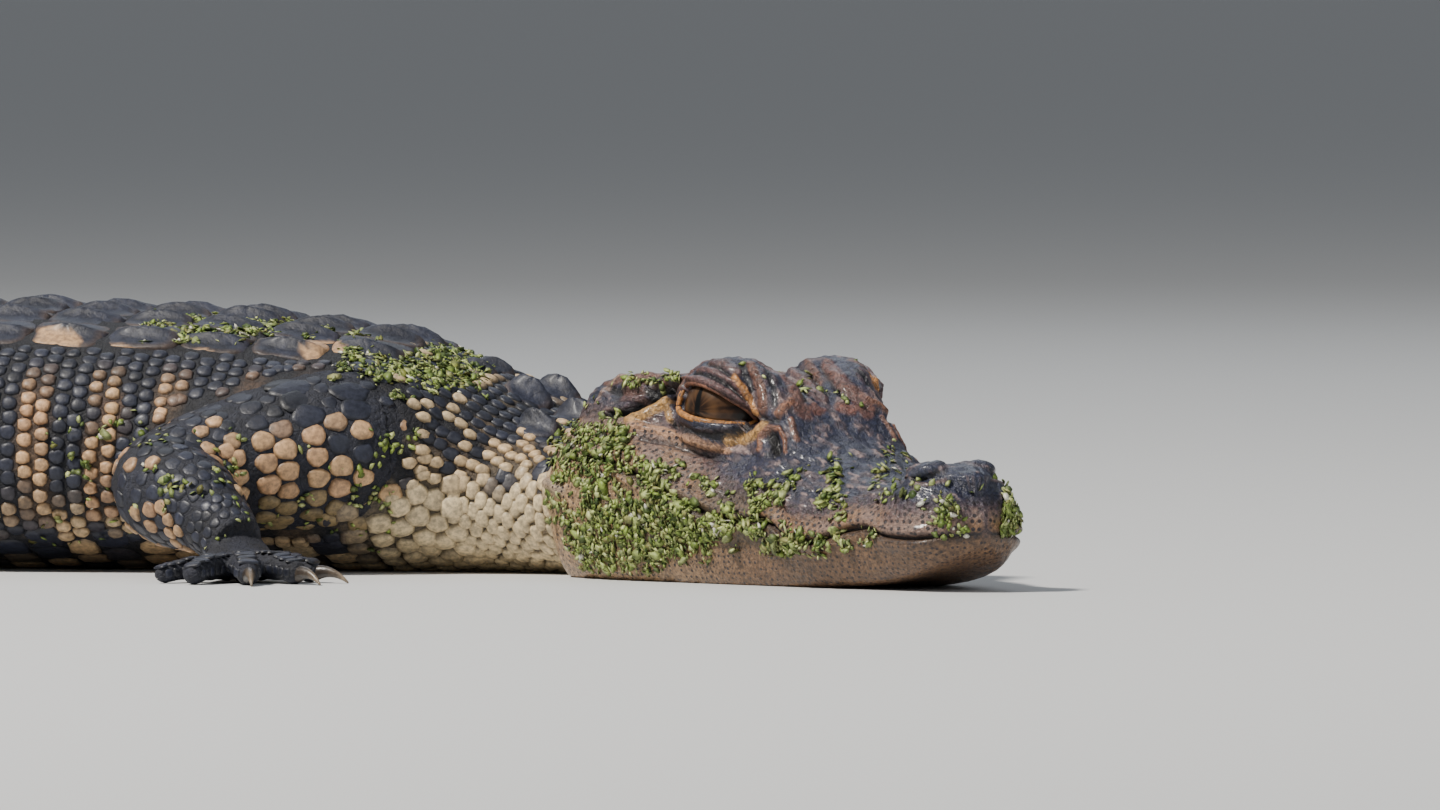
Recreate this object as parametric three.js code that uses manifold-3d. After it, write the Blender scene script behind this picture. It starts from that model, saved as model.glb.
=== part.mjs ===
// A young American alligator, life size, lying flat with its chin on the ground and its head turned to its right.
// Millimetres, +Z up. The animal faces +X, its right side faces -Y, and the origin is at the bottom centre of its box.
// Along the animal, s is the distance from the tip of the snout, y is towards its left and z is above the ground.
import * as THREE from "three";
import { mergeVertices } from "three/addons/utils/BufferGeometryUtils.js";
import Module from "manifold-3d";

const wasm = await Module();
wasm.setup();

// Lengths along the animal
const HEAD_LENGTH = 104;
const TOTAL_LENGTH = 800;
const HEAD_END = 108;
const NECK_END = 160;
const TORSO_END = 391;
const TAIL_ENDS = [488, 590, 694, TOTAL_LENGTH];
const GAP = 0.3;

// Smooth curve through knots that never overshoots them (monotone cubic).
function curve(knots) {
  const last = knots.length - 1;
  const slope = [];
  for (let i = 0; i < last; i++)
    slope.push((knots[i + 1][1] - knots[i][1]) / (knots[i + 1][0] - knots[i][0]));
  const tangent = knots.map((_, i) => {
    if (i === 0) return slope[0];
    if (i === last) return slope[last - 1];
    const [a, b] = [slope[i - 1], slope[i]];
    return a * b <= 0 ? 0 : (2 * a * b) / (a + b);
  });
  return (x) => {
    if (x <= knots[0][0]) return knots[0][1];
    if (x >= knots[last][0]) return knots[last][1];
    let i = 0;
    while (x > knots[i + 1][0]) i++;
    const h = knots[i + 1][0] - knots[i][0];
    const u = (x - knots[i][0]) / h;
    const start = (2 * u ** 3 - 3 * u ** 2 + 1) * knots[i][1] + (u ** 3 - 2 * u ** 2 + u) * h * tangent[i];
    const end = (3 * u ** 2 - 2 * u ** 3) * knots[i + 1][1] + (u ** 3 - u ** 2) * h * tangent[i + 1];
    return start + end;
  };
}

// Heading in degrees along the animal: the head is turned to the right, and the tail lies in a slow S.
const heading = curve([
  [HEAD_LENGTH, -59], [114, -53], [128, -39], [144, -25], [162, -16], [300, -13],
  [390, -7], [480, 8], [590, 24], [690, 17], [TOTAL_LENGTH, -6],
]);

// The spine in plan, stepped back from the rear of the head.
const SPINE_STEP = 1;
const spine = [new THREE.Vector2(0, 0)];
for (let s = HEAD_LENGTH; s < TOTAL_LENGTH; s += SPINE_STEP) {
  const angle = THREE.MathUtils.degToRad(heading(s + SPINE_STEP / 2));
  const back = new THREE.Vector2(-Math.cos(angle), -Math.sin(angle)).multiplyScalar(SPINE_STEP);
  spine.push(spine.at(-1).clone().add(back));
}

// World point of (s, y, z).
function place(s, y, z) {
  const angle = THREE.MathUtils.degToRad(heading(s));
  const forward = new THREE.Vector3(Math.cos(angle), Math.sin(angle), 0);
  const left = new THREE.Vector3(-forward.y, forward.x, 0);
  const along = Math.min((s - HEAD_LENGTH) / SPINE_STEP, spine.length - 1.001);
  const point = new THREE.Vector3(0, 0, z).addScaledVector(left, y);
  if (along <= 0) return point.addScaledVector(forward, HEAD_LENGTH - s);
  const index = Math.floor(along);
  const at = spine[index].clone().lerp(spine[index + 1], along - index);
  return point.add(new THREE.Vector3(at.x, at.y, 0));
}

// Solids
function solid(geometry) {
  geometry.deleteAttribute("normal");
  geometry.deleteAttribute("uv");
  const merged = mergeVertices(geometry, 1e-4);
  const vertProperties = new Float32Array(merged.attributes.position.array);
  const triVerts = new Uint32Array(merged.index.array);
  const made = () => new wasm.Manifold(new wasm.Mesh({ numProp: 3, vertProperties, triVerts }));
  const first = made();
  if (first.volume() > 0) return first;
  for (let i = 0; i < triVerts.length; i += 3)
    [triVerts[i + 1], triVerts[i + 2]] = [triVerts[i + 2], triVerts[i + 1]];
  return made();
}

const largest = (body) =>
  body.decompose().reduce((best, piece) => (piece.volume() > best.volume() ? piece : best));

function geometryOf(body) {
  const mesh = body.getMesh();
  const position = new Float32Array(mesh.numVert * 3);
  for (let i = 0; i < mesh.numVert; i++)
    position.set(mesh.vertProperties.subarray(i * mesh.numProp, i * mesh.numProp + 3), i * 3);
  const geometry = new THREE.BufferGeometry();
  geometry.setAttribute("position", new THREE.BufferAttribute(position, 3));
  geometry.setIndex(new THREE.BufferAttribute(new Uint32Array(mesh.triVerts), 1));
  return geometry.toNonIndexed();
}

// A closed tube: a unit cylinder whose points are moved by place(share along, angle, share of radius).
function tube(sides, rings, move) {
  const geometry = new THREE.CylinderGeometry(1, 1, 1, sides, rings);
  const position = geometry.attributes.position;
  for (let i = 0; i < position.count; i++) {
    const radius = Math.hypot(position.getX(i), position.getZ(i));
    const angle = Math.atan2(position.getZ(i), position.getX(i));
    const point = move(position.getY(i) + 0.5, angle, radius);
    position.setXYZ(i, point.x, point.y, point.z);
  }
  return solid(geometry);
}

// An ellipsoid in the animal's own axes.
function lump(s, y, z, rs, ry, rz, sides = 14) {
  const geometry = new THREE.SphereGeometry(1, sides, Math.round(sides * 0.6));
  const position = geometry.attributes.position;
  for (let i = 0; i < position.count; i++) {
    const at = place(s + rs * position.getX(i), y + ry * position.getZ(i), z + rz * position.getY(i));
    position.setXYZ(i, at.x, at.y, at.z);
  }
  return solid(geometry);
}

// A box big enough to cut anything here, on the far side of a plane from its normal.
const FAR = 400;
function behindPlane(point, normal) {
  const geometry = new THREE.BoxGeometry(FAR, FAR, FAR);
  geometry.translate(0, 0, -FAR / 2);
  const turn = new THREE.Quaternion().setFromUnitVectors(new THREE.Vector3(0, 0, 1), normal.clone().normalize());
  geometry.applyQuaternion(turn);
  geometry.translate(point.x, point.y, point.z);
  return solid(geometry);
}

const ground = (() => {
  const geometry = new THREE.BoxGeometry(5 * FAR, 5 * FAR, FAR);
  geometry.translate(0, 0, -FAR / 2);
  return solid(geometry);
})();

// Trunk, neck and tail: half width, back height, belly height, and height of the widest point, along s
const halfWidth = curve([
  [100, 24], [108, 24.5], [118, 26], [135, 29.5], [160, 36], [190, 42], [250, 47], [320, 44], [365, 34.5],
  [395, 25], [440, 19.5], [520, 13.5], [600, 9.4], [700, 5.6], [785, 2.3], [TOTAL_LENGTH, 0.9],
]);
const backHeight = curve([
  [100, 29.5], [108, 27.4], [118, 26.4], [130, 28], [146, 34.5], [165, 41], [200, 45], [250, 46.5], [310, 45],
  [360, 40.5], [395, 35.5], [440, 31], [520, 25.5], [600, 20], [700, 13], [785, 6], [TOTAL_LENGTH, 2.6],
]);
const BELLY_SINK = -0.7;
const waistShare = curve([[100, 0.5], [140, 0.46], [250, 0.42], [380, 0.45], [480, 0.5], [TOTAL_LENGTH, 0.5]]);
const roundness = curve([[100, 2.2], [200, 2.5], [340, 2.5], [420, 2.3], [TOTAL_LENGTH, 2]]);

function trunkPoint(s, angle, radius = 1, swell = 0) {
  const power = 2 / roundness(s);
  const [cos, sin] = [Math.cos(angle), Math.sin(angle)];
  const top = backHeight(s) + swell;
  const bottom = BELLY_SINK - swell;
  const waist = bottom + (top - bottom) * waistShare(s);
  const across = (halfWidth(s) + swell) * Math.sign(cos) * Math.abs(cos) ** power;
  const up = sin >= 0 ? (top - waist) * sin ** power : (bottom - waist) * (-sin) ** power;
  return { y: across * radius, z: waist + up * radius };
}

const trunkSolid = (start, end, sides, rings, swell = 0) =>
  tube(sides, rings, (share, angle, radius) => {
    const s = start + (end - start) * share;
    const { y, z } = trunkPoint(s, angle, radius, swell);
    return place(s, y, z);
  });

// Height of the back at a distance y from the midline, and the angle at which the skin lies there.
function backAt(s, y) {
  const power = roundness(s);
  const top = backHeight(s);
  const waist = BELLY_SINK + (top - BELLY_SINK) * waistShare(s);
  const share = Math.min(Math.abs(y) / halfWidth(s), 0.98);
  const rise = (1 - share ** power) ** (1 / power);
  const fall = ((top - waist) / halfWidth(s)) * (share / Math.max(rise, 0.2)) ** (power - 1);
  return { z: waist + (top - waist) * rise, tilt: Math.atan(fall) * Math.sign(y || 1) };
}

// A keeled scute: a raised ridge along a plate, higher towards its rear, with its root sunk into the back.
const SCUTE_ROOT = 1.3;
const KEEL_WIDTH = 0.2;
const FRONT_SHARE = 0.3;
function scute(s, y, length, width, keel, lean = 0.7) {
  const geometry = new THREE.BoxGeometry(1, 1, 1);
  const position = geometry.attributes.position;
  const { z, tilt } = backAt(s, y);
  for (let i = 0; i < position.count; i++) {
    const top = position.getZ(i) > 0;
    const rear = position.getX(i) > 0;
    const high = top ? keel * (rear ? 1 : FRONT_SHARE) : -SCUTE_ROOT;
    const wide = position.getY(i) * width * (top ? KEEL_WIDTH : 1);
    const long = position.getX(i) * length * (top ? 0.84 : 1) + (top && rear ? lean : 0);
    const at = place(
      s + long,
      y + wide * Math.cos(tilt) + high * Math.sin(tilt),
      z - wide * Math.sin(tilt) + high * Math.cos(tilt),
    );
    position.setXYZ(i, at.x, at.y, at.z);
  }
  return solid(geometry);
}

// Scutes of the neck: small ones behind the skull, then the square of large ones
const neckScutes = [];
for (const side of [-1, 1]) {
  for (const [s, y, length, width, keel] of [
    [114.5, 4.4, 6, 7, 1.5],
    [116, 11.5, 6, 7, 1.5],
    [127, 5.4, 11, 10.5, 3.7],
    [128.5, 15, 10, 9.4, 3.2],
    [139, 5.2, 10.5, 10, 3.3],
    [150, 4.2, 8, 8, 1.6],
  ])
    neckScutes.push(scute(s, side * y, length, width, keel));
}

// Scutes of the back: one cross row for each length of trunk, in eight files at the widest
const TORSO_ROWS = 17;
const torsoScutes = [];
const rowLength = (TORSO_END - NECK_END) / TORSO_ROWS;
const filesAcross = curve([[NECK_END, 3.4], [180, 6], [340, 6], [TORSO_END, 4]]);
const shieldShare = 0.72;
for (let row = 0; row < TORSO_ROWS; row++) {
  const s = NECK_END + rowLength * (row + 0.5);
  const files = 2 * Math.round(filesAcross(s) / 2);
  const width = (2 * shieldShare * halfWidth(s)) / Math.max(filesAcross(s), files);
  for (let file = 0; file < files; file++) {
    const y = width * (file - (files - 1) / 2);
    const outer = Math.abs(y) / halfWidth(s);
    const keel = 1.5 + 0.9 * (1 - outer) + 0.2 * Math.sin(row * 2.3 + file);
    torsoScutes.push(scute(s, y, rowLength * 0.96, width * 0.96, keel));
  }
}

// Crest of the tail: two rows of blades that meet in one row past the middle
const CREST_MERGE = 570;
const bladeLength = curve([[TORSO_END, 11.2], [600, 10.2], [TOTAL_LENGTH, 7.6]]);
const bladeHeight = curve([[TORSO_END, 2.6], [440, 4.2], [540, 6], [600, 7], [700, 5.4], [790, 2.4]]);
function tailScutes(start, end) {
  const blades = [];
  const count = Math.round((end - start) / bladeLength((start + end) / 2));
  const length = (end - start) / count;
  for (let i = 0; i < count; i++) {
    const s = start + length * (i + 0.5);
    if (s > TOTAL_LENGTH - 9) continue;
    const height = bladeHeight(s);
    if (s < CREST_MERGE) {
      const file = halfWidth(s) * (0.62 - 0.2 * ((s - TORSO_END) / (CREST_MERGE - TORSO_END)));
      for (const side of [-1, 1]) {
        blades.push(scute(s, side * file, length * 0.94, halfWidth(s) * 0.5, height, 1.6));
      }
    } else blades.push(scute(s, 0, length * 0.96, Math.max(halfWidth(s) * 0.75, 1.8), height, 1.8));
  }
  return blades;
}

const joined = (bodies) => bodies.reduce((sum, body) => sum.add(body));
const onGround = (body) => body.subtract(ground);

const neck = onGround(joined([trunkSolid(HEAD_END + GAP, NECK_END - GAP / 2, 22, 6), ...neckScutes]));
const torso = onGround(joined([trunkSolid(NECK_END + GAP / 2, TORSO_END - GAP / 2, 22, 13), ...torsoScutes]));
const tail = TAIL_ENDS.map((end, i) => {
  const start = i ? TAIL_ENDS[i - 1] : TORSO_END;
  const last = i === TAIL_ENDS.length - 1;
  const flesh = trunkSolid(start + GAP / 2, last ? end : end - GAP / 2, i < 2 ? 16 : 11, 7);
  return onGround(joined([flesh, ...tailScutes(start, end)]));
});

// Head: named outlines of its right half, as functions of the distance from the tip of the snout
const crownHeight = curve([
  [0, 13], [1, 15.2], [3, 18], [6, 20], [10, 21], [15, 20.2], [20, 18.8], [27, 19.2], [36, 22], [44, 25.2],
  [50, 29], [56, 32.6], [63, 34.8], [70, 35.6], [80, 35], [92, 35.2], [101, 35], [104, 33.6], [HEAD_END, 30],
]);
const edgeHalf = curve([
  [0, 0.8], [1, 2.8], [3, 5], [7, 7.2], [12, 8], [18, 7.6], [25, 8], [36, 9.4], [48, 9.8], [56, 10.4],
  [64, 11.4], [72, 12.8], [78, 14.4], [88, 15.6], [98, 16.6], [104, 16.2], [HEAD_END, 14],
]);
const edgeHeight = curve([
  [0, 12.6], [1, 14.4], [3, 16.8], [7, 19], [12, 19.6], [18, 17.8], [27, 17.8], [38, 21], [46, 25], [52, 31.4],
  [58, 37.4], [64, 38.8], [69, 38.4], [75, 36.8], [82, 35.6], [96, 35.4], [102, 34.8], [105, 32.6], [HEAD_END, 28],
]);
const sideHalf = curve([
  [0, 1.1], [1, 4], [3, 7.4], [7, 10.2], [12, 11.2], [18, 11.8], [28, 14.6], [38, 16.4], [48, 15.8], [56, 13.8],
  [66, 14.2], [76, 17.6], [86, 21.5], [96, 23.4], [102, 23], [HEAD_END, 20],
]);
const sideHeight = curve([
  [0, 11.8], [3, 13.4], [8, 15], [14, 14.6], [24, 13.8], [36, 16], [46, 19.5], [54, 23], [64, 25.6], [76, 27.6],
  [88, 28.6], [100, 27], [HEAD_END, 24],
]);
const lipHalf = curve([
  [0, 1.3], [1, 5], [3, 8.6], [6, 10.9], [10, 12.4], [15, 13.2], [20, 13.5], [26, 15.8], [33, 18.4], [42, 19.4],
  [52, 20.8], [64, 23.6], [78, 26.6], [90, 28.2], [99, 28], [HEAD_END, 24.5],
]);
const mouthHeight = curve([
  [0, 10.2], [7, 9.4], [13, 9.7], [19, 11], [24, 10.2], [30, 8.4], [36, 8.9], [43, 11.8], [51, 11.6], [58, 12.8],
  [66, 15.4], [76, 19.4], [86, 21.6], [94, 21.2], [HEAD_END, 19.6],
]);
const jawHalf = curve([
  [0, 1.2], [1, 4], [3, 7.2], [6, 9.4], [10, 11.2], [16, 12.2], [22, 13.6], [33, 17], [44, 18.3], [56, 20.8],
  [70, 24.8], [84, 28.2], [96, 29.4], [102, 28.2], [HEAD_END, 24.5],
]);
const jawHeight = curve([
  [0, 9.4], [2, 8.2], [6, 7], [16, 6.6], [28, 5.6], [40, 6.5], [56, 7.5], [70, 9.5], [84, 11.5], [HEAD_END, 12],
]);
const chinHalf = curve([
  [0, 0.8], [1, 2.4], [3, 4.6], [6, 6.6], [12, 8.4], [22, 10.4], [36, 13.4], [52, 16.5], [70, 20], [88, 23],
  [100, 23], [HEAD_END, 19],
]);
const chinHeight = curve([
  [0, 8.8], [1, 7.4], [3, 6], [7, 4.2], [14, 2.4], [24, 1], [40, -0.1], [56, -0.7], [HEAD_END, -0.7],
]);

// Point of the head's outline at s, for k from 0 at the crown to 6 at the chin, on either side.
function headPoint(s, k, side) {
  const half = [
    [0, crownHeight(s)],
    [edgeHalf(s), edgeHeight(s)],
    [sideHalf(s), sideHeight(s)],
    [lipHalf(s), mouthHeight(s)],
    [jawHalf(s), jawHeight(s)],
    [chinHalf(s), chinHeight(s)],
    [0, chinHeight(s)],
  ];
  const at = (i) => {
    if (i < 0) return [-half[-i][0], half[-i][1]];
    if (i > 6) return [-half[12 - i][0], half[12 - i][1]];
    return half[i];
  };
  const i = Math.min(Math.floor(k), 5);
  const u = k - i;
  const TENSION = 0.42;
  const blend = (axis) => {
    const [p0, p1, p2, p3] = [at(i - 1)[axis], at(i)[axis], at(i + 1)[axis], at(i + 2)[axis]];
    const [m1, m2] = [TENSION * (p2 - p0), TENSION * (p3 - p1)];
    return (
      (2 * u ** 3 - 3 * u ** 2 + 1) * p1 + (u ** 3 - 2 * u ** 2 + u) * m1 +
      (3 * u ** 2 - 2 * u ** 3) * p2 + (u ** 3 - u ** 2) * m2
    );
  };
  return { y: side * blend(0), z: blend(1) };
}

const HEAD_SIDES = 30;
const HEAD_RINGS = 30;
const headSpacing = curve([[0, 0], [0.08, 1], [0.18, 5], [0.32, 16], [1, HEAD_END]]);
const wholeHead = tube(HEAD_SIDES, HEAD_RINGS, (share, angle, radius) => {
  const s = headSpacing(share);
  const turn = ((angle / Math.PI + 2.5) % 2) - 1;
  const { y, z } = headPoint(s, 6 * Math.abs(turn), turn < 0 ? -1 : 1);
  const middle = (crownHeight(s) + chinHeight(s)) / 2;
  return place(s, y * radius, middle + (z - middle) * radius);
});

// Eyes, and the lids as a shell over each with an almond opening
const EYE = { s: 69, y: 10, z: 30, radius: 8.5 };
const LID = 1.3;
function lidOpening(side) {
  const shape = new THREE.Shape();
  shape.moveTo(-10.5, -1);
  shape.quadraticCurveTo(-1, 4.6, 11, 4.4);
  shape.quadraticCurveTo(10, -1.2, 4, -3);
  shape.quadraticCurveTo(-5, -4, -10.5, -1);
  const geometry = new THREE.ExtrudeGeometry(shape, { depth: 16, bevelEnabled: false, curveSegments: 6 });
  const position = geometry.attributes.position;
  for (let i = 0; i < position.count; i++) {
    const y = side * (EYE.y + 3 + position.getZ(i));
    const at = place(EYE.s + position.getX(i), y, EYE.z + position.getY(i));
    position.setXYZ(i, at.x, at.y, at.z);
  }
  return solid(geometry);
}

// The line of the mouth: a thin curtain that parts the lower jaw from the head.
const curtain = (() => {
  const geometry = new THREE.BoxGeometry(1, 1, 1, 40, 1, 1);
  const position = geometry.attributes.position;
  for (let i = 0; i < position.count; i++) {
    const s = -4 + (position.getX(i) + 0.5) * (HEAD_END + 8);
    const at = place(s, position.getY(i) * 80, mouthHeight(s) + position.getZ(i) * 0.4);
    position.setXYZ(i, at.x, at.y, at.z);
  }
  return solid(geometry);
})();

const parted = wholeHead.subtract(curtain).decompose().sort((a, b) => b.volume() - a.volume()).slice(0, 2);
const middleHeight = (body) => {
  const box = body.boundingBox();
  return (box.min[2] + box.max[2]) / 2;
};
parted.sort((a, b) => middleHeight(b) - middleHeight(a));
const lowerJaw = largest(onGround(parted[1]));

// Brows, tear glands and nostril mounds are added, then eye sockets, lids, nostrils and ear slits are cut.
let upperHead = parted[0];
const sides = [-1, 1];
for (const side of sides) {
  const { s, y, z, radius } = EYE;
  upperHead = upperHead
    .add(lump(s - 0.5, side * y, z, radius + LID + 1.2, radius + LID, radius + LID, 16))
    .add(lump(s - 13, side * 11.6, 26, 6.5, 3.4, 3.2, 10))
    .add(lump(12, side * 4.2, 20.4, 5.4, 3.4, 2, 12));
}
for (const side of sides) {
  const { s, y, z, radius } = EYE;
  upperHead = upperHead
    .subtract(lump(s, side * y, z, radius + GAP, radius + GAP, radius + GAP, 14))
    .subtract(lidOpening(side))
    .subtract(lump(11.5, side * 4.2, 22.8, 2.8, 1.1, 2.4, 8))
    .subtract(lump(88, side * 20.6, 31.4, 8, 4.6, 1.5, 10));
}
upperHead = largest(upperHead);

const eyeball = (side) => lump(EYE.s, side * EYE.y, EYE.z, EYE.radius, EYE.radius, EYE.radius, 14);

// Limbs: a tube from point to point with its own widths, round at both ends
function limb(points, radii, sides = 10, rings = 8) {
  const path = new THREE.CatmullRomCurve3(points, false, "centripetal");
  const knots = radii.map((r, i) => [i / (radii.length - 1), r]);
  const thick = curve(knots);
  const CAP = 0.1;
  return tube(sides, rings, (share, angle, radius) => {
    const at = path.getPoint(share);
    const tangent = path.getTangent(share);
    const across = new THREE.Vector3(0, 0, 1).cross(tangent).normalize();
    const up = tangent.clone().cross(across);
    const end = Math.min(share, 1 - share) / CAP;
    const round = end < 1 ? Math.sqrt(1 - (1 - end) ** 2 * 0.84) : 1;
    const reach = thick(share) * round * radius;
    return at
      .addScaledVector(across, Math.cos(angle) * reach)
      .addScaledVector(up, Math.sin(angle) * reach);
  });
}

// A claw: a bent, tapering cone that leaves the toe and comes down to the ground.
function claw(root, direction, length, thick) {
  const down = new THREE.Vector3(0, 0, -1);
  const bend = (share) =>
    root.clone()
      .addScaledVector(direction, length * share)
      .addScaledVector(down, root.z * 0.92 * share ** 2)
      .add(new THREE.Vector3(0, 0, length * 0.35 * share * (1 - share)));
  return tube(5, 3, (share, angle, radius) => {
    const at = bend(share);
    const tangent = bend(share + 0.01).sub(at).normalize();
    const across = new THREE.Vector3(0, 0, 1).cross(tangent).normalize();
    const up = tangent.clone().cross(across);
    const reach = thick * (1 - 0.86 * share) * radius;
    return at.addScaledVector(across, Math.cos(angle) * reach).addScaledVector(up, Math.sin(angle) * reach);
  });
}

// Every limb is given by its joints as (s, y, z), with y outwards, and its toes by plan angles.
const LIMBS = {
  right_front: {
    side: -1, names: ["upper_arm", "forearm", "hand"],
    root: [157, 21, 22], joint: [196, 52, 16.5], ankle: [177, 68, 6.4],
    upper: [13.5, 13, 11.8, 10.2, 9.2], lower: [9.6, 9.2, 8, 6.2, 5],
    foot: -84, footLength: 9, footWidth: 6.8, footHeight: 4.2,
    toes: [[56, 10, 2.3], [30, 13, 2.4], [0, 14.5, 2.4], [-32, 13.5, 2.2], [-62, 11.5, 1.9]],
    clawed: 3, clawLength: 6.2,
  },
  left_front: {
    side: 1, names: ["upper_arm", "forearm", "hand"],
    root: [157, 21, 22], joint: [195, 50, 16], ankle: [178, 66, 6.4],
    upper: [13.5, 13, 11.8, 10.2, 9.2], lower: [9.6, 9.2, 8, 6.2, 5],
    foot: 34, footLength: 9, footWidth: 6.8, footHeight: 4.2,
    toes: [[-56, 10, 2.3], [-30, 13, 2.4], [0, 14.5, 2.4], [32, 13.5, 2.2], [62, 11.5, 1.9]],
    clawed: 3, clawLength: 6.2,
  },
  right_rear: {
    side: -1, names: ["thigh", "shank", "foot"],
    root: [370, 16, 21], joint: [344, 52, 19], ankle: [381, 63, 6.8],
    upper: [14, 14.5, 13, 11, 9.6], lower: [10, 10.4, 8.6, 6.6, 5.4],
    foot: -42, footLength: 18, footWidth: 7.2, footHeight: 4.4,
    toes: [[34, 15, 2.6], [11, 18, 2.7], [-12, 18, 2.6], [-36, 16, 2.1]],
    clawed: 3, clawLength: 6.4,
  },
  left_rear: {
    side: 1, names: ["thigh", "shank", "foot"],
    root: [370, 16, 21], joint: [348, 53, 18], ankle: [388, 60, 6.8],
    upper: [14, 14.5, 13, 11, 9.6], lower: [10, 10.4, 8.6, 6.6, 5.4],
    foot: 30, footLength: 18, footWidth: 7.2, footHeight: 4.4,
    toes: [[-34, 15, 2.6], [-11, 18, 2.7], [12, 18, 2.6], [36, 16, 2.1]],
    clawed: 3, clawLength: 6.4,
  },
};

const BODY_CLEARANCE = 0.9;
const clearBody = trunkSolid(HEAD_END, TAIL_ENDS[0], 26, 24, BODY_CLEARANCE);
const planVector = (degrees) => {
  const angle = THREE.MathUtils.degToRad(degrees);
  return new THREE.Vector3(Math.cos(angle), Math.sin(angle), 0);
};

function buildLimb(spec) {
  const at = ([s, y, z]) => place(s, spec.side * y, z);
  const [root, joint, ankle] = [at(spec.root), at(spec.joint), at(spec.ankle)];
  const footWay = planVector(spec.foot);
  const sole = 0.35 * spec.footHeight;
  const knuckles = ankle.clone().addScaledVector(footWay, spec.footLength);
  knuckles.z = 2.4;
  const middle = (a, b, lift) => a.clone().lerp(b, 0.5).add(new THREE.Vector3(0, 0, lift));
  const upper = limb([root, middle(root, joint, 2), joint], spec.upper);
  const lower = limb([joint, middle(joint, ankle, 1), ankle], spec.lower, 10, 7);
  const both = upper.add(lower);

  // The joint is parted on the plane that halves the bend, and the ankle square to the lower leg
  const toUpper = root.clone().sub(joint).normalize();
  const toLower = ankle.clone().sub(joint).normalize();
  const halving = toUpper.clone().sub(toLower).normalize();
  const shift = (point, way, by) => point.clone().addScaledVector(way, by);
  const upperSide = behindPlane(shift(joint, halving, GAP / 2), halving);
  const lowerSide = behindPlane(shift(joint, halving, -GAP / 2), halving.clone().negate());
  const wrist = shift(ankle, toLower, -1);
  const beyondWrist = behindPlane(wrist, toLower.clone().negate());
  const clearOfWrist = behindPlane(shift(wrist, toLower, GAP), toLower.clone().negate());
  const clearLower = limb(
    [joint, middle(joint, ankle, 1), ankle], spec.lower.map((r) => r + GAP + 0.1), 10, 7,
  ).subtract(clearOfWrist);

  const upperPart = largest(onGround(both.subtract(upperSide).subtract(clearBody)));
  const lowerPart = largest(onGround(both.subtract(lowerSide).subtract(beyondWrist).subtract(clearBody)));

  // Palm and toes
  const palmStart = shift(ankle, toLower, -1.5);
  const palm = tube(9, 5, (share, angle, radius) => {
    const point = palmStart.clone().lerp(ankle.clone().setZ(sole + 2), Math.min(share * 3, 1));
    if (share > 1 / 3) point.lerp(knuckles, (share - 1 / 3) * 1.5);
    const wide = THREE.MathUtils.lerp(spec.lower.at(-1) + 0.4, spec.footWidth, share ** 0.7);
    const high = THREE.MathUtils.lerp(spec.lower.at(-1), 2.8, share ** 0.6);
    const across = new THREE.Vector3(-footWay.y, footWay.x, 0);
    const way = share < 1 / 3 ? toLower.clone().lerp(footWay, share * 3).normalize() : footWay;
    const up = way.clone().cross(across).multiplyScalar(-1).normalize();
    return point
      .addScaledVector(across, Math.cos(angle) * wide * radius)
      .addScaledVector(up, -Math.sin(angle) * high * radius * -1);
  });
  const claws = [];
  let foot = palm;
  spec.toes.forEach(([turn, length, thick], i) => {
    const way = planVector(spec.foot + turn);
    const base = knuckles.clone().lerp(ankle, 0.25);
    const start = base.clone().addScaledVector(way, 2);
    start.z = thick + 0.4;
    const tip = base.clone().addScaledVector(way, length + spec.footWidth * 0.9);
    tip.z = thick * 0.72;
    const knuckle = start.clone().lerp(tip, 0.55);
    knuckle.z += thick * 0.35;
    foot = foot.add(limb([start, knuckle, tip], [thick * 1.15, thick, thick * 0.78], 6, 4));
    if (i < spec.clawed) {
      const leave = tip.clone().addScaledVector(way, -thick * 0.3);
      claws.push(claw(leave.clone().addScaledVector(way, thick * 0.4), way, spec.clawLength, thick * 0.55));
      foot = foot.subtract(claw(leave, way, spec.clawLength, thick * 0.55 + GAP + 0.1));
    }
  });
  const footPart = largest(onGround(foot.subtract(clearLower).subtract(clearBody)));
  return { parts: [upperPart, lowerPart, footPart], claws: claws.map((c) => largest(onGround(c))) };
}

// The model
const FINISH = {
  back: new THREE.MeshStandardMaterial({ color: "#23242c", roughness: 0.5, metalness: 0 }),
  skull: new THREE.MeshStandardMaterial({ color: "#4a3a36", roughness: 0.45, metalness: 0 }),
  jaw: new THREE.MeshStandardMaterial({ color: "#a5876c", roughness: 0.5, metalness: 0 }),
  limb: new THREE.MeshStandardMaterial({ color: "#2c2b30", roughness: 0.5, metalness: 0 }),
  claw: new THREE.MeshStandardMaterial({ color: "#4b3c38", roughness: 0.35, metalness: 0 }),
  eye: new THREE.MeshStandardMaterial({ color: "#3a2618", roughness: 0.1, metalness: 0 }),
};

const alligator = new THREE.Group();
function show(name, body, finish) {
  const mesh = new THREE.Mesh(geometryOf(body), finish);
  mesh.name = name;
  alligator.add(mesh);
}

show("head", upperHead, FINISH.skull);
show("lower_jaw", lowerJaw, FINISH.jaw);
show("eye_right", eyeball(-1), FINISH.eye);
show("eye_left", eyeball(1), FINISH.eye);
show("neck", largest(neck), FINISH.back);
show("torso", largest(torso), FINISH.back);
["tail_base", "tail_middle", "tail_rear", "tail_tip"].forEach((name, i) => show(name, largest(tail[i]), FINISH.back));
for (const [key, spec] of Object.entries(LIMBS)) {
  const side = key.split("_")[0];
  const { parts, claws } = buildLimb(spec);
  parts.forEach((body, i) => show(`${spec.names[i]}_${side}`, body, FINISH.limb));
  claws.forEach((body, i) => show(`claw_${spec.names[2]}_${side}_${i + 1}`, body, FINISH.claw));
}

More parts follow.
